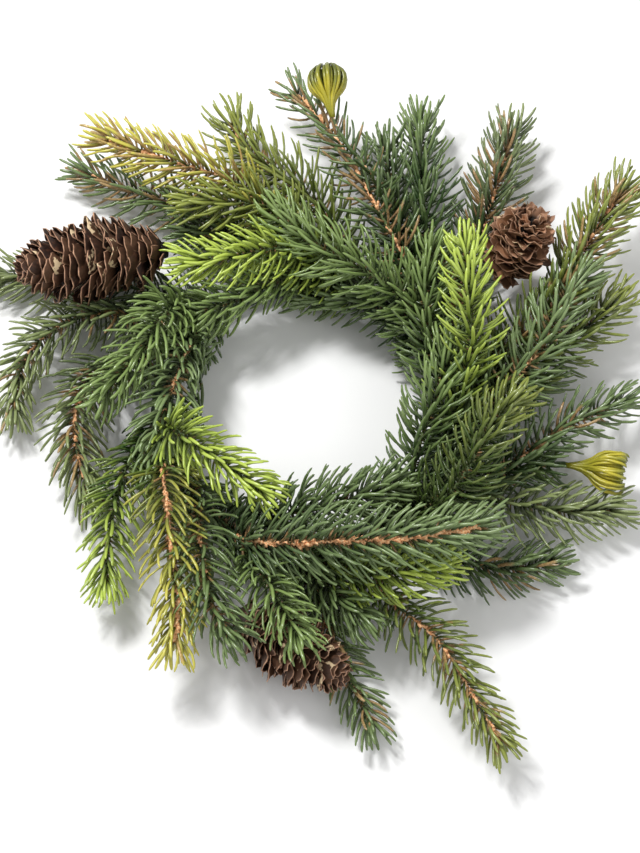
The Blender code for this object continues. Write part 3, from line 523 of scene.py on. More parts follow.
# Mesh helpers: every shape is gathered as blocks of vertices, faces and values per vertex.
class Blocks:
    """Vertices, faces, material numbers and point values of a piece, added block by block."""

    def __init__(self, values):
        self.verts, self.faces, self.marks = [], [], []
        self.values = {name: [] for name in values}
        self.count = 0

    def add(self, verts, faces, mark, **values):
        """Add vertices, their blocks of faces, a material number and values for the points."""
        verts = np.asarray(verts, float).reshape(-1, 3)
        self.verts.append(verts)
        for corners in faces:
            self.faces.append(np.asarray(corners, int) + self.count)
            self.marks.append(np.full(len(corners), mark))
        for name, kept in self.values.items():
            value = np.asarray(values.get(name, 0.0), float)
            kept.append(np.broadcast_to(value.reshape(-1), (len(verts),)) if value.size == 1
                        else value.reshape(-1))
        self.count += len(verts)

    def finish(self, node, slot, materials):
        """Make the blocks one object, which rides on the ring in place of a CAD node."""
        mesh = bpy.data.meshes.new(node + "_fine")
        verts = np.concatenate(self.verts)
        sizes = np.concatenate([np.full(len(f), f.shape[1]) for f in self.faces])
        corners = np.concatenate([f.reshape(-1) for f in self.faces])
        mesh.vertices.add(len(verts))
        mesh.vertices.foreach_set("co", verts.reshape(-1))
        mesh.loops.add(len(corners))
        mesh.loops.foreach_set("vertex_index", corners.astype(np.int32))
        mesh.polygons.add(len(sizes))
        starts = np.concatenate([[0], np.cumsum(sizes)[:-1]])
        mesh.polygons.foreach_set("loop_start", starts.astype(np.int32))
        mesh.polygons.foreach_set("material_index", np.concatenate(self.marks).astype(np.int32))
        mesh.polygons.foreach_set("use_smooth", np.ones(len(sizes), bool))
        for key, kept in self.values.items():
            layer = mesh.attributes.new(key, "FLOAT", "POINT")
            layer.data.foreach_set("value", np.concatenate(kept).astype(np.float32))
        mesh.update()
        mesh.validate()
        for material in materials:
            mesh.materials.append(material)
        piece = add_object(mesh.name, mesh)
        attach(piece, "root")
        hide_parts(node)


def tube_faces(count, rings, sides):
    """Quads between the rings of each of a number of tubes that come one after another."""
    counts = (np.arange(count), np.arange(rings - 1), np.arange(sides))
    tube, ring, side = np.meshgrid(*counts, indexing="ij")
    low = tube * rings * sides + ring * sides
    after = (side + 1) % sides
    quads = np.stack([low + side, low + after, low + sides + after, low + sides + side], axis=-1)
    return quads.reshape(-1, 4)


def end_faces(count, rings, sides, tips):
    """Triangles from the last ring of each tube to its tip vertex."""
    tube, side = np.meshgrid(np.arange(count), np.arange(sides), indexing="ij")
    last = tube * rings * sides + (rings - 1) * sides
    return np.stack([last + side, last + (side + 1) % sides, tips[tube]], axis=-1).reshape(-1, 3)


def start_faces(count, rings, sides):
    """The polygon that closes the first ring of each tube."""
    first = np.arange(count)[:, None] * rings * sides
    return first + np.arange(sides)[::-1][None, :]


def needle_paths(places, tangents, outs, leans, bows, sways, lengths, steps):
    """Middle lines of needles that leave at lean + bow / 2, end at lean - bow / 2 and sway."""
    steps = np.asarray(steps)
    fine = np.linspace(0, 1, BEND_STEPS + 1)
    turn = leans[:, None] + bows[:, None] * (0.5 - fine[None, :])
    aside = sways[:, None] * (fine - 0.3)[None, :]
    aside = aside[:, :, None] * np.cross(tangents, outs)[:, None, :]
    ways = np.cos(turn)[:, :, None] * tangents[:, None, :]
    ways = units(ways + np.sin(turn)[:, :, None] * outs[:, None, :] + aside)
    halves = 0.5 * (ways[:, 1:] + ways[:, :-1]) / BEND_STEPS
    run = np.concatenate([np.zeros_like(ways[:, :1]), np.cumsum(halves, axis=1)], axis=1)
    picks = steps * BEND_STEPS
    low = np.minimum(picks.astype(int), BEND_STEPS - 1)
    part = (picks - low)[None, :, None]
    line = run[:, low] * (1 - part) + run[:, low + 1] * part
    way = ways[:, low] * (1 - part) + ways[:, low + 1] * part
    return places[:, None, :] + line * lengths[:, None, None], way


def needle_girth(steps):
    """A needle's breadth along it, from its narrow foot to its blunt end."""
    steps = np.asarray(steps)
    foot = risen(NEEDLE_FOOT, np.clip(steps / NEEDLE_FOOT_LENGTH, 0, 1))
    taper = 1 - NEEDLE_TAPER * steps
    past = np.maximum(steps - NEEDLE_END, 0) / NEEDLE_END_LENGTH
    end = np.sqrt(np.clip(1 - past**2, 0.02, 1))
    return foot * taper * end


def add_needles(blocks, lines, ways, across, mark=0, breadth=1.0, steps=NEEDLE_RINGS, **values):
    """Add needles as closed six-sided tubes; a value is given for each needle or for all."""
    count, rings = len(lines), len(steps)
    above = units(np.cross(ways[:, :-1], across[:, None, :]))
    across = np.cross(above, ways[:, :-1])
    girth = needle_girth(steps)[None, :, None, None] * np.reshape(breadth, (-1, 1, 1, 1))
    turns = math.tau * np.arange(NEEDLE_SIDES) / NEEDLE_SIDES
    ring = (np.cos(turns)[None, None, :, None] * NEEDLE_HALF_WIDTH * across[:, :, None, :]
            + np.sin(turns)[None, None, :, None] * NEEDLE_HALF_DEPTH * above[:, :, None, :])
    tubes = lines[:, :-1, None, :] + girth * ring
    verts = np.concatenate([tubes.reshape(-1, 3), lines[:, -1]])
    tips = count * rings * NEEDLE_SIDES + np.arange(count)
    spread = (count, rings, NEEDLE_SIDES)
    along = np.broadcast_to(np.array(steps)[None, :, None], spread).reshape(-1)
    for name, value in values.items():
        value = np.broadcast_to(np.asarray(value, float), (count,))
        on_tube = np.broadcast_to(value[:, None, None], spread).reshape(-1)
        values[name] = np.concatenate([on_tube, value])
    faces = [tube_faces(count, rings, NEEDLE_SIDES), end_faces(count, rings, NEEDLE_SIDES, tips),
             start_faces(count, rings, NEEDLE_SIDES)]
    along = np.concatenate([along, np.ones(count)])
    blocks.add(verts, [block[:, ::-1] for block in faces], mark, along=along, **values)


def add_stem(blocks, stem, start, end, radius_at, sides, step, mark, draw, rough=0.0, **values):
    """Add a round stem; its lumps and any value may differ from ring to ring."""
    rings = max(3, round((end - start) / step))
    distances = np.linspace(start, end, rings)
    places, _, side, up = stem.at(distances)
    turns = math.tau * np.arange(sides) / sides
    drawn = [[draw.uniform(-1, 1) for _ in range(sides)] for _ in range(rings)]
    lumps = 1 + rough * np.array(drawn)
    reach = radius_at(distances)[:, None] * lumps
    ring = (np.cos(turns)[None, :, None] * side[:, None, :]
            + np.sin(turns)[None, :, None] * up[:, None, :])
    tube = places[:, None, :] + reach[:, :, None] * ring
    last = np.arange((rings - 1) * sides, rings * sides)[None, :]
    for name, value in values.items():
        values[name] = np.repeat(value(distances), sides) if callable(value) else value
    faces = [tube_faces(1, rings, sides), start_faces(1, rings, sides), last]
    blocks.add(tube, faces, mark, **values)


# Needle placing: the topmost sprigs come first, and those below keep clear of them.
def segment_gaps(start, end, starts, ends):
    """Least distance from one segment to each of many."""
    u = end - start
    v = ends - starts
    w = start - starts
    a = u @ u
    b = v @ u
    c = np.maximum((v * v).sum(axis=1), 1e-12)
    d = w @ u
    e = (v * w).sum(axis=1)
    spread = np.maximum(a * c - b * b, 1e-14)
    s = np.clip((b * e - c * d) / spread, 0, 1)
    t = np.clip((b * s + e) / c, 0, 1)
    s = np.clip((b * t - d) / a, 0, 1)
    return np.linalg.norm(w + s[:, None] * u - t[:, None] * v, axis=1)


# Room for segments, and the balls that stand for cones and buds, with the gap kept round them.
MOST_SEGMENTS = 40000
CONE_BALLS, CONE_SPARE = 24, 0.4 * MM
BUD_BALLS, BUD_SPARE = 6, 1 * MM
HOOP_SPARE = 0.6 * MM


class Room:
    """What is already in place, so that each new needle can be tested against it."""

    def __init__(self, stems):
        self.starts = np.zeros((MOST_SEGMENTS, 3))
        self.ends = np.zeros((MOST_SEGMENTS, 3))
        self.owners = np.full(MOST_SEGMENTS, -1)
        self.count = 0
        balls, reach = [], []
        for k, stem in enumerate(stems):
            if stem.colour == "cone":
                begin, end, greatest = cone_stretch(stem)
                for u in np.linspace(0, 1, CONE_BALLS):
                    balls.append(stem.at([begin + u * (end - begin)])[0][0])
                    reach.append(cone_profile(u, greatest) + CONE_SPARE)
            if stem.colour == "bud":
                for back in np.linspace(0, BUD_HEIGHT, BUD_BALLS):
                    balls.append(stem.at([stem.length - back])[0][0])
                    reach.append(BUD_REACH + BUD_SPARE)
            for first, second in zip(stem.line[:-1], stem.line[1:]):
                self.add(k, first, second)
        self.stems = self.count
        self.balls = np.array(balls)
        self.reach = np.array(reach)

    def add(self, owner, start, end):
        """Keep a segment that belongs to the stem with the number owner."""
        self.starts[self.count] = start
        self.ends[self.count] = end
        self.owners[self.count] = owner
        self.count += 1

    def near(self, place, reach):
        """Numbers of the segments whose middle lies within reach of a place."""
        middle = 0.5 * (self.starts[: self.count] + self.ends[: self.count])
        return np.nonzero(((middle - place) ** 2).sum(axis=1) < reach * reach)[0]

    def space(self, owner, line, near):
        """Least room round a needle's line, or a negative number where it can't go."""
        if line[:, 2].min() < FLOOR_ROOM + NEEDLE_HALF_WIDTH:
            return -1
        inward = (line[:, :2] - HOLE_MIDDLE) / HOLE_HALF
        if (inward**2).sum(axis=1).min() < 1:
            return -1
        across = np.hypot(line[:, 0], line[:, 1])
        off_hoop = np.hypot(across - HOOP_RADIUS, line[:, 2] - HOOP_HEIGHT)
        if (off_hoop < HOOP_TUBE + HOOP_SPARE).any():
            return -1
        away = np.linalg.norm(line[:, None, :] - self.balls[None, :, :], axis=2)
        if (away < self.reach[None, :]).any():
            return -1
        own_stem = (near < self.stems) & (self.owners[near] == owner)
        near = near[~own_stem]
        starts, ends = self.starts[near], self.ends[near]
        thick = np.where(near < self.stems, STEM_ROOT_RADIUS, 0)
        half = len(line) // 2
        gaps = np.minimum(segment_gaps(line[1], line[half], starts, ends),
                          segment_gaps(line[half], line[-1], starts, ends))
        return (gaps - thick).min() if len(near) else 1


# Points of a needle that are tested, needles round a tip, and the spread of each drawn value.
# Near its root a sprig's needles lean towards the way in which its outer part runs.
TEST_STEPS = (0.0, 0.25, 0.45, 0.62, 0.8, 1.0)
OUTER_PART = 0.4
NEAR_AHEAD = 0.6
NEEDLE_START = 1 * MM
NEEDLE_NEAR = 26 * MM
NEEDLE_ROOT = 0.8
END_NEEDLES = 7
END_TURN = 0.4
TURN_SPREAD = 12
BOW_SPREAD = (0.2, 1.5)
LENGTH_SPREAD = (0.86, 1.06)
BREADTH_SPREAD = (0.85, 1.12)
TAN_SPREAD = (0.7, 1.3)
TAN_RISE = 1.6
RUST_RISE, RUST_POWER = 1.6, 2.2
END_LENGTH, MIDDLE_LENGTH = 0.82, 0.18
LEAST_LEAN = math.radians(9)

# Needles on the upper side stand less steeply and are shorter, so that the stem shows.
UPPER_SIDE = 0.5
UPPER_LEAN = math.radians(10)
UPPER_LENGTH = 0.9

# How much orange each look shows: on its needles' roots, on its stem, and chips per millimetre.
RUST = {"plain": 0.12, "flecked": 0.3, "parted": 0.45, "bare": 0.3}
BARK = {"plain": 0.1, "flecked": 0.5, "parted": 0.6, "bare": 1.0}
CHIPS = {"plain": 0, "flecked": 0.12, "parted": 0.3, "bare": 2.2}


def place_needles(stem, number, end, look, habit, room, draw):
    """Choose each needle of a sprig: its line, directions, side, breadth, age, shade and rust."""
    long, youth, curl, crowd, tanned = habit
    count = round((end - NEEDLE_START) / NEEDLE_STEP * crowd)
    rows = []
    for k in range(count):
        share = (k + 0.5) / count
        turn = GOLDEN * k + math.radians(draw.uniform(-TURN_SPREAD, TURN_SPREAD))
        rows.append((share, NEEDLE_START + (end - NEEDLE_START) * share, turn))
    for k in range(END_NEEDLES):
        rows.append((1.0, end, math.tau * k / END_NEEDLES + END_TURN))
    onward = unit(stem.line[-1] - stem.at([OUTER_PART * stem.length])[0][0])
    kept = []
    for share, distance, turn in reversed(rows):
        place, tangent, side, up = (value[0] for value in stem.at([distance]))
        tangent = unit(tangent + SWEEP * max(0, 1 - share / SWEEP_REACH) * onward)
        up = unit(LIFT - (tangent @ LIFT) * tangent)
        side = np.cross(tangent, up)
        lean = ROOT_LEAN + (TIP_LEAN - ROOT_LEAN) * share**LEAN_CURVE
        lean += curl * WOBBLE * draw.uniform(-1, 1)
        bow = curl * BOW * draw.uniform(*BOW_SPREAD)
        sway = curl * SWAY * draw.uniform(-1, 1)
        swell = END_LENGTH + MIDDLE_LENGTH * math.sin(math.pi * share)
        length = long * NEEDLE_LENGTH * swell * draw.uniform(*LENGTH_SPREAD)
        shade = draw.random()
        rust = RUST[look] * draw.random() ** RUST_POWER * RUST_RISE
        if draw.random() < tanned * min(1, TAN_RISE * share):
            rust = draw.uniform(*TAN_SPREAD)
        parting = turn % math.tau - math.pi / 2
        if look in ("parted", "bare") and abs(parting) < PARTED:
            turn += math.copysign(PARTED - abs(parting), parting)
        if math.sin(turn) > UPPER_SIDE:
            lean -= UPPER_LEAN * math.sin(turn)
            length *= UPPER_LENGTH
        near = room.near(place + NEAR_AHEAD * length * tangent, NEEDLE_NEAR)
        most, shape, tested = -1, None, None
        for swing, tilt, scale in NEEDLE_TRIES:
            about = turn + math.radians(swing)
            leaning = max(lean + math.radians(tilt), LEAST_LEAN)
            out = math.cos(about) * side + math.sin(about) * up
            root = place + NEEDLE_ROOT * STEM_FINE * stem.radius(distance) * out
            tried = (root[None], tangent[None], out[None], np.array([leaning]), np.array([bow]),
                     np.array([sway]), np.array([length * scale]))
            line = needle_paths(*tried, TEST_STEPS)[0][0]
            space = room.space(number, line, near)
            if space > most:
                most, shape, tested = space, tried, line
            if space >= NEEDLE_GAP:
                break
        if most > NEEDLE_LEAST_GAP:
            line, way = needle_paths(*shape, NEEDLE_RINGS + (1.0,))
            across = np.cross(shape[1][0], shape[2][0])
            breadth = draw.uniform(*BREADTH_SPREAD)
            kept.append((line[0], way[0], across, breadth, share + youth, shade, rust))
            room.add(number, tested[1], tested[3])
            room.add(number, tested[3], tested[5])
    return [np.array(column) for column in zip(*kept)]


# Materials.
def srgb(red, green, blue):
    """A colour given as 0 to 255, as the shader's own linear values."""
    return tuple(((c / 255 + 0.055) / 1.055) ** 2.4 if c > 10 else c / 255 / 12.92
                 for c in (red, green, blue)) + (1.0,)


PALE = srgb(188, 200, 158)
BLACK, WHITE = (0.0, 0.0, 0.0, 1.0), (1.0, 1.0, 1.0, 1.0)


class Nodes:
    """A material's node tree, with short calls for the nodes that are used here."""

    def __init__(self, name):
        self.material = bpy.data.materials.new(name)
        self.material.use_nodes = True
        self.tree = self.material.node_tree
        self.shader = self.tree.nodes["Principled BSDF"]

    def node(self, kind, **settings):
        made = self.tree.nodes.new(kind)
        for key, value in settings.items():
            setattr(made, key, value)
        return made

    def link(self, source, target):
        self.tree.links.new(source, target)

    def value(self, name):
        """A value stored on the mesh."""
        return self.node("ShaderNodeAttribute", attribute_name=name).outputs["Fac"]

    def math(self, operation, first, second, clamp=False):
        """Reckon with two values, each a number or from a node."""
        made = self.node("ShaderNodeMath", operation=operation, use_clamp=clamp)
        for socket, source in zip(made.inputs, (first, second)):
            if isinstance(source, (int, float)):
                socket.default_value = source
            else:
                self.link(source, socket)
        return made.outputs[0]

    def scaled(self, source, factor, offset):
        """factor x source + offset."""
        return self.math("ADD", self.math("MULTIPLY", source, factor), offset)

    def vary(self, base, source, amount, clamp=False):
        """base, moved by up to half the amount either way as source goes from 0 to 1."""
        change = self.math("MULTIPLY", self.math("SUBTRACT", source, 0.5), amount)
        return self.math("ADD", base, change, clamp)

    def noise(self, scale, detail=2.0):
        """Noise in the object's own coordinates, which are metres."""
        made = self.node("ShaderNodeTexNoise")
        made.inputs["Scale"].default_value = scale
        made.inputs["Detail"].default_value = detail
        self.link(self.node("ShaderNodeTexCoord").outputs["Object"], made.inputs["Vector"])
        return made.outputs["Fac"]

    def ramp(self, source, *stops):
        """A colour ramp; each stop is a place from 0 to 1 and a colour."""
        made = self.node("ShaderNodeValToRGB")
        ramp = made.color_ramp
        while len(ramp.elements) < len(stops):
            ramp.elements.new(0.5)
        for element, (place, colour) in zip(ramp.elements, stops):
            element.position = place
            element.color = colour
        self.link(source, made.inputs["Fac"])
        return made.outputs["Color"]

    def mask(self, source, low, high, most=1.0):
        """0 up to low, then rising to most at high."""
        return self.ramp(source, (low, BLACK), (high, (most, most, most, 1.0)))

    def mix(self, share, first, second):
        """Mix two colours by a share that is a number or comes from a node."""
        made = self.node("ShaderNodeMix", data_type="RGBA")
        for number, source in ((0, share), (6, first), (7, second)):
            socket = made.inputs[number]
            if isinstance(source, (int, float, tuple)):
                socket.default_value = source
            else:
                self.link(source, socket)
        return made.outputs[2]

    def bump(self, height, strength, distance):
        made = self.node("ShaderNodeBump")
        made.inputs["Strength"].default_value = strength
        made.inputs["Distance"].default_value = distance
        self.link(height, made.inputs["Height"])
        self.link(made.outputs["Normal"], self.shader.inputs["Normal"])

    def finish(self, colour, roughness):
        self.link(colour, self.shader.inputs["Base Color"])
        self.link(roughness, self.shader.inputs["Roughness"])
        return self.material


def needle_material(kind):
    """Moulded plastic needles: painted shade at the root, younger and yellower towards the tips."""
    made = Nodes(f"needles_{kind}")
    old, young = (srgb(*colour) for colour in GREENS[kind])
    along = made.value("along")
    youth = made.vary(made.value("age"), along, 0.4)
    youth = made.vary(youth, made.value("shade"), 0.45, True)
    green = made.ramp(youth, (0.15, old), (0.95, young))
    # Painted shade: over its root half each needle darkens towards 0.3 of its old green.
    painted_root_shade = tuple(0.3 * c for c in old[:3]) + (1.0,)
    green = made.mix(made.ramp(along, (0.0, WHITE), (0.5, BLACK)), green, painted_root_shade)
    pale = tuple(0.55 * c + 0.45 * g for c, g in zip(young[:3], PALE[:3])) + (1.0,)
    mottle = made.mask(made.noise(260, 3), 0.45, 0.75)
    green = made.mix(made.math("MULTIPLY", mottle, 0.35), green, pale)
    rust = made.vary(made.math("SUBTRACT", made.value("bark"), along), made.noise(600), 0.3)
    brown = made.ramp(made.noise(900, 3), (0.35, srgb(140, 102, 66)), (0.7, srgb(206, 162, 116)))
    green = made.mix(made.mask(rust, 0.02, 0.14, 0.7), green, brown)
    made.bump(made.noise(1400), 0.35, 0.2 * MM)
    return made.finish(green, made.scaled(made.noise(700), 0.24, 0.12))


def bark_material():
    """Stems: green under a flaky orange-brown bark, which shows where bark is stored as 1."""
    made = Nodes("stem_bark")
    grain = made.noise(900, 4)
    orange = made.ramp(grain, (0.32, srgb(184, 118, 76)), (0.46, srgb(240, 174, 120)),
                       (0.62, srgb(255, 214, 164)))
    green = made.ramp(made.value("shade"), (0.0, srgb(52, 70, 38)), (1.0, srgb(88, 104, 56)))
    share = made.mask(made.vary(made.value("bark"), made.noise(420), 0.9), 0.42, 0.52)
    made.bump(grain, 0.6, 0.4 * MM)
    return made.finish(made.mix(share, green, orange), made.scaled(grain, 0.3, 0.5))


def cone_material():
    """Dried scales: dark brown fields, thin tan rims and a few cream flakes of torn wing."""
    made = Nodes("cone_scales")
    streak = made.noise(500, 4)
    field = made.ramp(streak, (0.3, srgb(20, 9, 6)), (0.55, srgb(42, 22, 14)),
                      (0.8, srgb(92, 54, 34)))
    # Some scales lighten towards pale tan by their shade value: weathered tan, and partly a painted
    # sheen.
    pale = made.math("MULTIPLY", made.value("shade"), 0.6, True)
    field = made.mix(pale, field, srgb(184, 134, 98))
    # Painted shade: each scale darkens to near black over its root half, deep in the cone.
    deep = made.ramp(made.value("along"), (0.0, WHITE), (0.55, BLACK))
    field = made.mix(deep, field, srgb(16, 9, 7))
    tan = made.ramp(made.noise(300, 3), (0.35, srgb(136, 98, 76)), (0.7, srgb(206, 162, 130)))
    rim = made.vary(made.value("edge"), streak, 0.4)
    field = made.mix(made.mask(rim, 0.55, 0.9), field, tan)
    flake = made.math("MULTIPLY", made.value("flake"), made.noise(230, 3))
    field = made.mix(made.mask(flake, 0.56, 0.59), field, srgb(226, 200, 160))
    made.bump(made.noise(1500, 3), 0.5, 0.3 * MM)
    return made.finish(field, made.scaled(streak, 0.3, 0.4))


def tape_material():
    """Dark green crepe tape with a waxy sheen."""
    made = Nodes("hoop_tape")
    crepe = made.noise(1800, 3)
    green = made.ramp(crepe, (0.3, srgb(24, 40, 24)), (0.7, srgb(48, 70, 44)))
    made.bump(crepe, 0.6, 0.4 * MM)
    return made.finish(green, made.scaled(crepe, 0.2, 0.55))


def bud_material():
    """Golden olive needles, greener and darker where they curl in, and green ones on the stalk."""
    made = Nodes("bud_needles")
    shade = made.value("shade")
    tone = made.vary(made.value("along"), shade, 0.2)
    gold = made.ramp(tone, (0.05, srgb(142, 138, 40)), (0.4, srgb(194, 182, 60)),
                     (0.62, srgb(132, 134, 52)), (0.85, srgb(88, 94, 42)))
    green = made.ramp(shade, (0.0, srgb(50, 72, 38)), (1.0, srgb(98, 118, 66)))
    made.bump(made.noise(1400), 0.25, 0.2 * MM)
    gloss = made.scaled(made.noise(700), 0.22, 0.16)
    return made.finish(made.mix(made.value("age"), green, gold), gloss)


# Pieces.

# Bark on a stem: where it starts to show, the length over which it comes up, the length of its
# waves, and its strength and how far that swings.
BARK_START = 24 * MM
BARK_FADE = 22 * MM
BARK_WAVE = 5 * MM
BARK_STRENGTH, BARK_SWING = 0.8, 0.25

# Fine stems: their sides, the step between their rings, how lumpy they are and how much more
# so under bark.
FINE_SIDES = 8
FINE_STEP = 1.6 * MM
STALK_STEP = 2 * MM
STEM_ROUGH = (0.1, 0.12)

# Chips of bark: where they start and end on a stem, how far apart their clumps are, and the
# spread of their side (degrees), lean (degrees), length (mm) and breadth. Towards the tip of a
# stem with more bark they fill the gaps between clumps and are broader.
CHIP_START = 26 * MM
CHIP_END = 2 * MM
CHIP_CLUMP = 3.4 * MM
CHIP_ASIDE = 45
CHIP_LEANS = (4, 44)
CHIP_LENGTHS = (1.8, 4.6)
CHIP_BREADTHS = (0.8, 1.5)
CHIP_BROADER = (0.8, 0.5)
CHIP_GAPS = (0.5, -1.7)
CHIP_CROWD = 0.6
CHIP_ROOT = 0.7
CHIP_BOW = 60
CHIP_BARK = 1.2


def make_sprig(stem, number, look, habit, room, materials, draw):
    """Fine needles and a slim round stem on the line of one CAD sprig."""
    blocks = Blocks(("along", "age", "shade", "bark"))
    end = stem.length - TIP_BACK
    columns = place_needles(stem, number, end, look, habit, room, draw)
    lines, ways, across, breadth, ages, shades, rusts = columns
    add_needles(blocks, lines, ways, across, 0, breadth, age=ages, shade=shades, bark=rusts)
    amount = BARK[look]
    phase = draw.uniform(0, math.tau)

    def bark(distances):
        shown = np.clip((distances - BARK_START) / BARK_FADE, 0, 1)
        return amount * shown * (BARK_STRENGTH + BARK_SWING * np.sin(distances / BARK_WAVE + phase))

    add_stem(blocks, stem, 0, end, lambda d: STEM_FINE * stem.radius(d), FINE_SIDES, FINE_STEP, 1,
             draw, rough=risen(STEM_ROUGH, amount), bark=bark, shade=draw.random())
    chips = round(stem.length / MM * CHIPS[look])
    if chips:
        add_chips(blocks, stem, chips, look, phase, draw)
    blocks.finish(stem.name, "needles_" + stem.colour, [materials[stem.colour], materials["bark"]])


def add_chips(blocks, stem, count, look, phase, draw):
    """Short curled chips of orange bark in clumps along the upper side of a stem."""
    first, last = CHIP_START, stem.length - TIP_BACK - CHIP_END
    rows = []
    for _ in range(count):
        distance = first + (last - first) * draw.random() ** (CHIP_CROWD if look == "bare" else 1.0)
        barky = (distance - first) / (last - first) * BARK[look]
        if math.sin(distance / CHIP_CLUMP + phase) < risen(CHIP_GAPS, barky):
            continue
        turn = math.pi / 2 + math.radians(draw.gauss(0, CHIP_ASIDE))
        lean = math.radians(draw.uniform(*CHIP_LEANS))
        breadth = draw.uniform(*CHIP_BREADTHS) * risen(CHIP_BROADER, barky)
        length = draw.uniform(*CHIP_LENGTHS) * MM
        rows.append((distance, turn, lean, length, breadth, draw.random()))
    distances, turns, leans, lengths, breadths, shades = (np.array(column) for column in zip(*rows))
    places, tangents, side, up = stem.at(distances)
    outs = outward(turns, side, up)
    roots = places + CHIP_ROOT * STEM_FINE * stem.radius(distances)[:, None] * outs
    bows = np.radians(CHIP_BOW * (shades - 0.5))
    steps = NEEDLE_RINGS + (1.0,)
    lines, ways = needle_paths(roots, tangents, outs, leans, bows, bows, lengths, steps)
    across = np.cross(tangents, outs)
    add_needles(blocks, lines, ways, across, 1, breadths, shade=shades, bark=CHIP_BARK)


# Buds: needles in each layer, the line of an outer one as distance from the stalk's line and
# height over the bud's middle (mm), how much closer and lower each further layer is, the range
# of an uneven needle's reach and rise, and how far below the tip the stalk's needles end.
BUD_AROUND = (22, 16, 11)
BUD_LINE = ((0.9, -20), (1.7, -15), (3.8, -9.5), (8, -5), (10.6, 0), (10.2, 5), (7, 9), (3, 10.4))
BUD_LINE_STEP = 0.5 * MM
BUD_RINGS = (0.0, 0.1, 0.22, 0.34, 0.45, 0.55, 0.64, 0.72, 0.8, 0.88, 0.95)
BUD_WIDEST_RING = 5
BUD_CLOSER, BUD_LOWER = 0.25, 0.08
BUD_REACHES, BUD_RISES = (-1.2, 0.6), (-1, 0.6)
BUD_FOOT = 26 * MM

# An open bud: how far its needles flare and from where on, how much darker and narrower they are.
BUD_FLARE, BUD_FLARE_START, BUD_FLARE_LENGTH = 6 * MM, 0.7, 0.3
BUD_OPEN_SHADE = 1.3
BUD_BREADTH = (1.12, -0.12)

# Buds' looks: twist of their needles (degrees), how uneven they are, how open, and how the
# needles on their stalk grow.
BUD_LOOKS = {
    "bud_top": (13, 0.05, 0, (0.9, 0, 0.8, 0.25, 0)),
    "bud_right": (42, 0.13, 1, USUAL),
}


def make_bud(stem, number, material, bark, room, draw):
    """A tuft whose needles run up the stalk, bulge out and curl in over its end."""
    blocks = Blocks(("along", "age", "shade", "bark"))
    outline = smooth_path([(reach * MM, rise * MM, 0) for reach, rise in BUD_LINE], BUD_LINE_STEP)
    steps = np.array(BUD_RINGS + (1.0,))
    spread = np.linspace(0, 1, len(outline))
    reaches, rises = (np.interp(steps, spread, outline[:, k]) for k in (0, 1))
    twist, uneven, opened, habit = BUD_LOOKS[stem.name]
    reaches += opened * BUD_FLARE * np.clip((steps - BUD_FLARE_START) / BUD_FLARE_LENGTH, 0, 1)
    lines, across = [], []
    for level, around in enumerate(BUD_AROUND):
        for k in range(around):
            turn = math.tau * (k + 0.5 * level) / around
            turn += math.radians(0.5 * twist * draw.uniform(-1, 1))
            reach = reaches * (1 - BUD_CLOSER * level) * (1 + uneven * draw.uniform(*BUD_REACHES))
            rise = rises * (1 - BUD_LOWER * level) * (1 + uneven * draw.uniform(*BUD_RISES))
            places, tangents, side, up = stem.at(stem.length + np.minimum(rise, 0))
            turns = turn + math.radians(twist * draw.uniform(-1, 1)) * steps
            outs = outward(turns, side, up)
            lines.append(places + np.maximum(rise, 0)[:, None] * tangents + reach[:, None] * outs)
            across.append(np.cross(tangents[-1], outs[BUD_WIDEST_RING]))
    lines = np.array(lines)
    ways = units(np.gradient(lines, axis=1))
    shades = np.array([draw.random() - BUD_OPEN_SHADE * opened for _ in lines])
    breadth = risen(BUD_BREADTH, opened)
    add_needles(blocks, lines, ways, np.array(across), 0, breadth, BUD_RINGS, age=1.0, shade=shades)
    end = stem.length - BUD_FOOT
    columns = place_needles(stem, number, end, "plain", habit, room, draw)
    lines, ways, across, breadth, _, shades, _ = columns
    add_needles(blocks, lines, ways, across, 0, breadth, age=0.0, shade=shades)
    end = stem.length - 0.5 * BUD_HEIGHT
    add_stem(blocks, stem, 0, end, lambda d: STEM_FINE * stem.radius(d), FINE_SIDES, STALK_STEP, 1,
             draw, rough=STEM_ROUGH[0], bark=0.35, shade=0.5)
    blocks.finish(stem.name, "bud", [material, bark])


# Scales: how many a cone has, their grid from side to side and from root to rim, how far those
# at the stem end open, their least half width, their thickness at the root and how much thinner
# the rim is (mm), how deep in the core they start, the spread of their reach and of their
# opening and roll (degrees), and the share that carries a flake. Of a pair for risen(), the
# first number is for an even scale and the second is what a ragged one adds.
SCALE_COUNT = 150
SCALE_ACROSS = (-1, -0.94, -0.76, -0.4, 0, 0.4, 0.76, 0.94, 1)
SCALE_ALONG = (0, 0.24, 0.46, 0.66, 0.82, 0.92, 0.975, 1)
SCALE_OPEN = math.radians(66)
SCALE_LEAST_HALF = 1.6 * MM
SCALE_THICK, SCALE_THINNED = 0.8, 0.45
SCALE_ROOT = 0.6
SCALE_SHORTEST, SCALE_LONGEST = (0.94, -0.12), 1.03
SCALE_OPEN_SPREAD, SCALE_ROLL_SPREAD = (4, 9), (4, 14)
FLAKE_SHARE = 0.15

# Towards a cone's apex its scales close: from where, over what share and how fast. CONE_MARGIN is
# the part of the body before the first scale, CONE_LAST the outline's place for the last.
CLOSE_START, CLOSE_LENGTH, CLOSE_POWER = 0.55, 0.45, 1.3
CONE_MARGIN, CONE_LAST = 0.02, 0.94

# A scale's outline: the spread of its breadth, how much narrower a short one and the root are,
# where it has its full breadth, how far its rim is rounded, and the waves in it, each with its
# size, its number and its shift.
HALF_SPREAD = (0.94, 1.05)
SHORT_HALF, SHORT_SCALE = (0.55, 0.45), 1.2
ROOT_HALF, FULL_BREADTH = (0.34, 0.66), 0.7
RIM_ROUND = 0.32
RIM_WAVES = ((0.03, 5, 1), (0.015, 13, 2))
RIM_RAGGED = (1, 2.2)

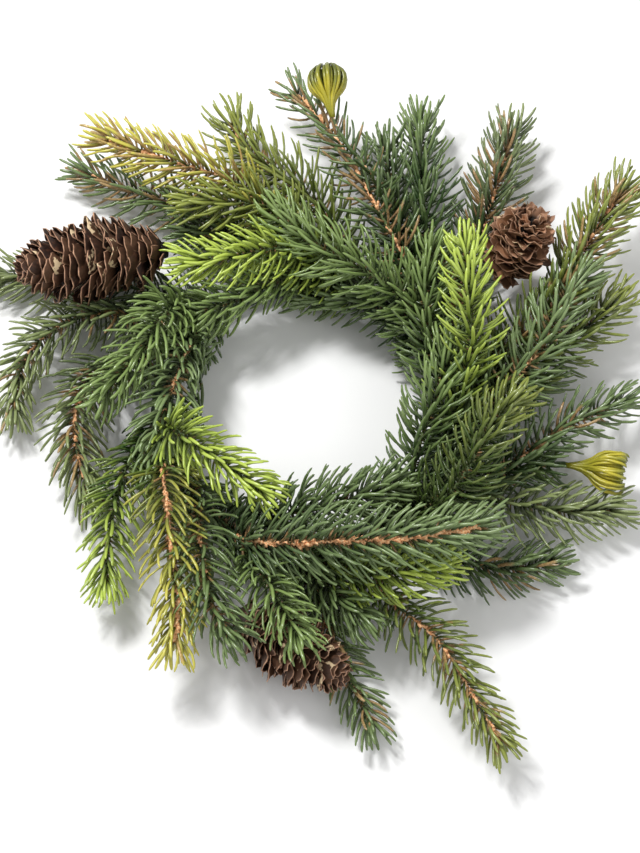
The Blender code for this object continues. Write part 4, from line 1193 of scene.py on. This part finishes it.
# A scale's cup along it and across, how far it sinks at the root, and the ripple of its rim (mm).
CUP_ALONG, CUP_ACROSS, CUP_SUNK = 0.16, 0.10, 0.05
CUP_LEAST, CUP_MOST = (1, -0.8), 1.2
RIPPLE, RIPPLE_WAVES = (0.4, 0.8), 4

# How narrow a scale's pale edge is, and the spread of its strength and shade, fresh and worn.
EDGE_POWER, SIDE_POWER, SIDE_START = 16, 14, 0.3
WORN_POWER, WORN_EDGE = 1.5, (0.5, 1.1)
# The shade value sets how far a scale lightens to tan: weathering, and partly a painted sheen.
FRESH_PAINTED_SHEEN, WORN_TAN_AND_SHEEN = (0, 0.3), (0.1, 1.9)

# A cone's core: its fit under the scales, its sides and the step between its rings.
CORE_FIT = 0.95
CORE_SIDES = 16
CORE_STEP = 4 * MM

# Cones' looks: how ragged and how worn their scales are, how far they open at the apex
# (degrees), how much of the body they cover, how large they are and how many go round.
CONE_LOOKS = {
    "cone_left": (0.2, 0.0, 26, 0.94, 1.13, 10),
    "cone_right": (1.0, 0.85, 48, 0.78, 0.94, 8.5),
    "cone_bottom": (0.4, 0.1, 26, 0.92, 1.0, 10),
}


def scale_faces(wide, tall):
    """Faces of a closed sheet: its upper grid, the same grid below, and the rim between them."""
    grid = np.arange(wide * tall).reshape(wide, tall)
    corners = (grid[:-1, :-1], grid[1:, :-1], grid[1:, 1:], grid[:-1, 1:])
    top = np.stack(corners, axis=-1).reshape(-1, 4)
    border = np.concatenate([grid[:, 0], grid[-1, 1:], grid[-2::-1, -1], grid[0, -2:0:-1]])
    after = np.roll(border, -1)
    under = wide * tall
    sides = np.stack([border, border + under, after + under, after], axis=-1)
    return [np.concatenate([top, top[:, ::-1] + under, sides])]


def make_cone(stem, material, bark, draw):
    """Thin cupped scales in a golden spiral round a core, each with a wavy rim."""
    blocks = Blocks(("along", "edge", "shade", "flake", "bark"))
    begin, end, greatest = cone_stretch(stem)
    ragged, worn, open_at_apex, cover, size, around = CONE_LOOKS[stem.name]
    u = np.array(SCALE_ACROSS)[:, None, None]
    v = np.array(SCALE_ALONG)[None, :, None]
    faces = scale_faces(len(SCALE_ACROSS), len(SCALE_ALONG))
    for k in range(SCALE_COUNT):
        share = (k + 0.5) / SCALE_COUNT
        at = stem.at([begin + (end - begin) * (CONE_MARGIN + cover * share)])
        place, tangent, side, up = (value[0] for value in at)
        turn = GOLDEN * k
        out = math.cos(turn) * side + math.sin(turn) * up
        across = math.cos(turn) * up - math.sin(turn) * side
        outer = size * cone_profile(share * CONE_LAST, greatest)
        outer *= draw.uniform(risen(SCALE_SHORTEST, ragged), SCALE_LONGEST)
        core = max(CONE_CORE * outer, CONE_CORE_LEAST)
        closed = max(0, (share - CLOSE_START) / CLOSE_LENGTH) ** CLOSE_POWER
        opening = SCALE_OPEN + (math.radians(open_at_apex) - SCALE_OPEN) * closed
        opening += math.radians(draw.gauss(0, risen(SCALE_OPEN_SPREAD, ragged)))
        length = (outer - SCALE_ROOT * core) / math.sin(SCALE_OPEN)
        reach = math.cos(opening) * tangent + math.sin(opening) * out
        normal = unit(math.sin(opening) * tangent - math.cos(opening) * out)
        roll = math.radians(draw.gauss(0, risen(SCALE_ROLL_SPREAD, ragged)))
        across, normal = (math.cos(roll) * across + math.sin(roll) * normal,
                          math.cos(roll) * normal - math.sin(roll) * across)
        half = 0.5 * math.tau * outer / around * draw.uniform(*HALF_SPREAD)
        half *= risen(SHORT_HALF, min(1, length / greatest * SHORT_SCALE))
        half = max(half, SCALE_LEAST_HALF)
        breadth = half * risen(ROOT_HALF, np.sin(math.pi / 2 * np.minimum(v / FULL_BREADTH, 1)))
        wave = draw.uniform(0, math.tau)
        jag = sum(high * np.sin(waves * u + shift * wave) for high, waves, shift in RIM_WAVES)
        rim = length * (1 - RIM_ROUND * np.abs(u) ** 2.0)
        rim = rim * (1 + risen(RIM_RAGGED, ragged) * jag * v**3)
        cup = length * (CUP_ALONG * v**2 + CUP_ACROSS * u**2 * v - CUP_SUNK)
        cup = cup * draw.uniform(risen(CUP_LEAST, ragged), CUP_MOST)
        cup = cup + risen(RIPPLE, ragged) * MM * np.sin(RIPPLE_WAVES * u + 2 * wave) * v**4
        root = place + SCALE_ROOT * core * out
        sheet = root + reach * (v * rim) + across * (u * breadth) + normal * cup
        thick = (SCALE_THICK - SCALE_THINNED * v) * MM + 0 * u
        both = np.concatenate([sheet.reshape(-1, 3), (sheet - normal * thick).reshape(-1, 3)])
        thin = np.maximum(v**EDGE_POWER, np.abs(u) ** SIDE_POWER * (v > SIDE_START))
        wide = worn * v**WORN_POWER * draw.uniform(*WORN_EDGE)
        edge = ((1 - worn) * thin + wide + 0 * u).reshape(-1)
        along = (v + 0 * u).reshape(-1)
        # Share of tan on this scale: weathering, and partly a painted sheen.
        shade = draw.uniform(*FRESH_PAINTED_SHEEN) * (1 - worn) + draw.uniform(*WORN_TAN_AND_SHEEN) * worn
        flake = 1.0 if draw.random() < FLAKE_SHARE else 0.0
        blocks.add(both, faces, 0, along=np.tile(along, 2), edge=np.tile(edge, 2),
                   shade=shade, flake=flake)

    top = begin + (end - begin) * (cover + CONE_MARGIN)

    def core_radius(distances):
        shares = np.clip((distances - begin) / (top - begin), 0, 1)
        outers = np.array([cone_profile(share, greatest) for share in shares])
        return CORE_FIT * np.maximum(CONE_CORE * outers, CONE_CORE_LEAST)

    # The core's points carry along 0, so the core takes the full painted shade of the scales'
    # roots.
    add_stem(blocks, stem, begin - 1 * MM, top, core_radius, CORE_SIDES, CORE_STEP, 0, draw,
             rough=0.05, shade=0.2)
    add_stem(blocks, stem, 0, begin, lambda d: 0 * d + STALK_RADIUS, FINE_SIDES, STALK_STEP, 1,
             draw, rough=STEM_ROUGH[0], bark=0.0, shade=0.3)
    blocks.finish(stem.name, "cone_scales", [material, bark])


# Tape: its turns round the hoop, the mesh's steps and sides, and an edge's height and breadth.
TAPE_TURNS = 62
TAPE_STEPS = 372
TAPE_SIDES = 22
TAPE_STEP_HEIGHT = 0.35 * MM
TAPE_EDGE = 0.12


def make_hoop(material):
    """The hoop with its tape wound round it in overlapping turns, flat underneath."""
    blocks = Blocks(())
    angle = math.tau * np.arange(TAPE_STEPS)[:, None] / TAPE_STEPS
    turn = math.tau * np.arange(TAPE_SIDES)[None, :] / TAPE_SIDES
    wound = (angle * TAPE_TURNS - turn) / math.tau % 1.0
    reach = HOOP_TUBE - TAPE_STEP_HEIGHT * (1 - wound) * np.clip(wound / TAPE_EDGE, 0, 1)
    across = HOOP_RADIUS + reach * np.cos(turn)
    height = np.maximum(HOOP_HEIGHT + reach * np.sin(turn), 0)
    verts = np.stack([across * np.cos(angle), across * np.sin(angle), height], axis=-1)
    quads = tube_faces(1, TAPE_STEPS + 1, TAPE_SIDES) % (TAPE_STEPS * TAPE_SIDES)
    blocks.add(verts, [np.roll(quads, -1, axis=1)], 0)
    blocks.finish("base_hoop", "hoop_tape", [material])


# Floor, light and camera. The camera stands where the photograph was taken from.
FLOOR_HALF = 4.0
FLOOR_CORNERS = ((-1, -1), (1, -1), (1, 1), (-1, 1))
FLOOR_COLOUR = (0.9, 0.9, 0.9, 1)
FLOOR_ROUGHNESS = 0.9
WORLD_STRENGTH = 0.5

# Lights: name, place, size and power.
LIGHTS = (("key", (-0.4, 0.45, 1.1), 0.22, 14), ("fill", (0.7, -0.5, 0.9), 0.7, 3))

IMAGE_WIDTH, IMAGE_HEIGHT = 640, 853
CAMERA_DISTANCE = 1.0
CAMERA_ELEVATION = math.radians(68)
CAMERA_TARGET = (0, 0, 0.03)
SENSOR_WIDTH = 36
FOCAL_PIXELS = 1887
CENTRE_PIXEL = (302, 396)


def make_stage():
    """A plain pale floor under an even white sky, with two soft lights."""
    mesh = bpy.data.meshes.new("floor")
    corners = [(FLOOR_HALF * x, FLOOR_HALF * y, 0) for x, y in FLOOR_CORNERS]
    mesh.from_pydata(corners, [], [(0, 1, 2, 3)])
    made = Nodes("floor_finish")
    made.shader.inputs["Base Color"].default_value = FLOOR_COLOUR
    made.shader.inputs["Roughness"].default_value = FLOOR_ROUGHNESS
    mesh.materials.append(made.material)
    floor = add_object("floor", mesh)
    world = bpy.data.worlds.new("studio")
    world.use_nodes = True
    sky = world.node_tree.nodes["Background"]
    sky.inputs["Color"].default_value = WHITE
    sky.inputs["Strength"].default_value = WORLD_STRENGTH
    bpy.context.scene.world = world
    bpy.context.scene.view_settings.view_transform = "Standard"
    for name, place, size, power in LIGHTS:
        light = bpy.data.lights.new(name, "AREA")
        light.size = size
        light.energy = power
        lamp = add_object(name, light)
        lamp.location = place
        aim(lamp, CAMERA_TARGET)


def aim(thing, target):
    """Turn a light or camera to look at a point, with its top towards +Z."""
    way = Vector(target) - thing.location
    thing.rotation_euler = way.to_track_quat("-Z", "Y").to_euler()


def make_camera():
    """A camera at the photograph's angle, with its frame shifted as the photograph's is."""
    data = bpy.data.cameras.new("camera")
    data.sensor_width = SENSOR_WIDTH
    data.lens = FOCAL_PIXELS / IMAGE_HEIGHT * data.sensor_width
    data.shift_x = (IMAGE_WIDTH / 2 - CENTRE_PIXEL[0]) / IMAGE_HEIGHT
    data.shift_y = (CENTRE_PIXEL[1] - IMAGE_HEIGHT / 2) / IMAGE_HEIGHT
    camera = add_object("camera", data)
    back = CAMERA_DISTANCE * math.cos(CAMERA_ELEVATION)
    rise = CAMERA_DISTANCE * math.sin(CAMERA_ELEVATION)
    camera.location = (CAMERA_TARGET[0], CAMERA_TARGET[1] - back, CAMERA_TARGET[2] + rise)
    aim(camera, CAMERA_TARGET)
    bpy.context.scene.camera = camera


def main():
    """Make every piece; the topmost sprigs take their room first."""
    draw = random.Random(SEED)
    make_camera()
    make_stage()
    materials = {kind: needle_material(kind) for kind in GREENS}
    materials["bark"] = bark_material()
    stems = plan_stems()
    looks = {"sprig_" + name: (look, habit) for name, _, look, habit, _ in SPRIGS}
    room = Room(stems)
    heights = [float(np.mean(stem.line[len(stem.line) // 3:] @ LIFT)) for stem in stems]
    topmost_first = sorted(range(len(looks)), key=lambda k: -heights[k])
    for k in topmost_first:
        make_sprig(stems[k], k, *looks[stems[k].name], room, materials, draw)
    bud, cone = bud_material(), cone_material()
    cone_draw = random.Random(SEED)
    for k, stem in enumerate(stems):
        if stem.colour == "bud":
            make_bud(stem, k, bud, materials["bark"], room, draw)
        if stem.colour == "cone":
            make_cone(stem, cone, materials["bark"], cone_draw)
    make_hoop(tape_material())


main()

bpy.context.view_layer.update()
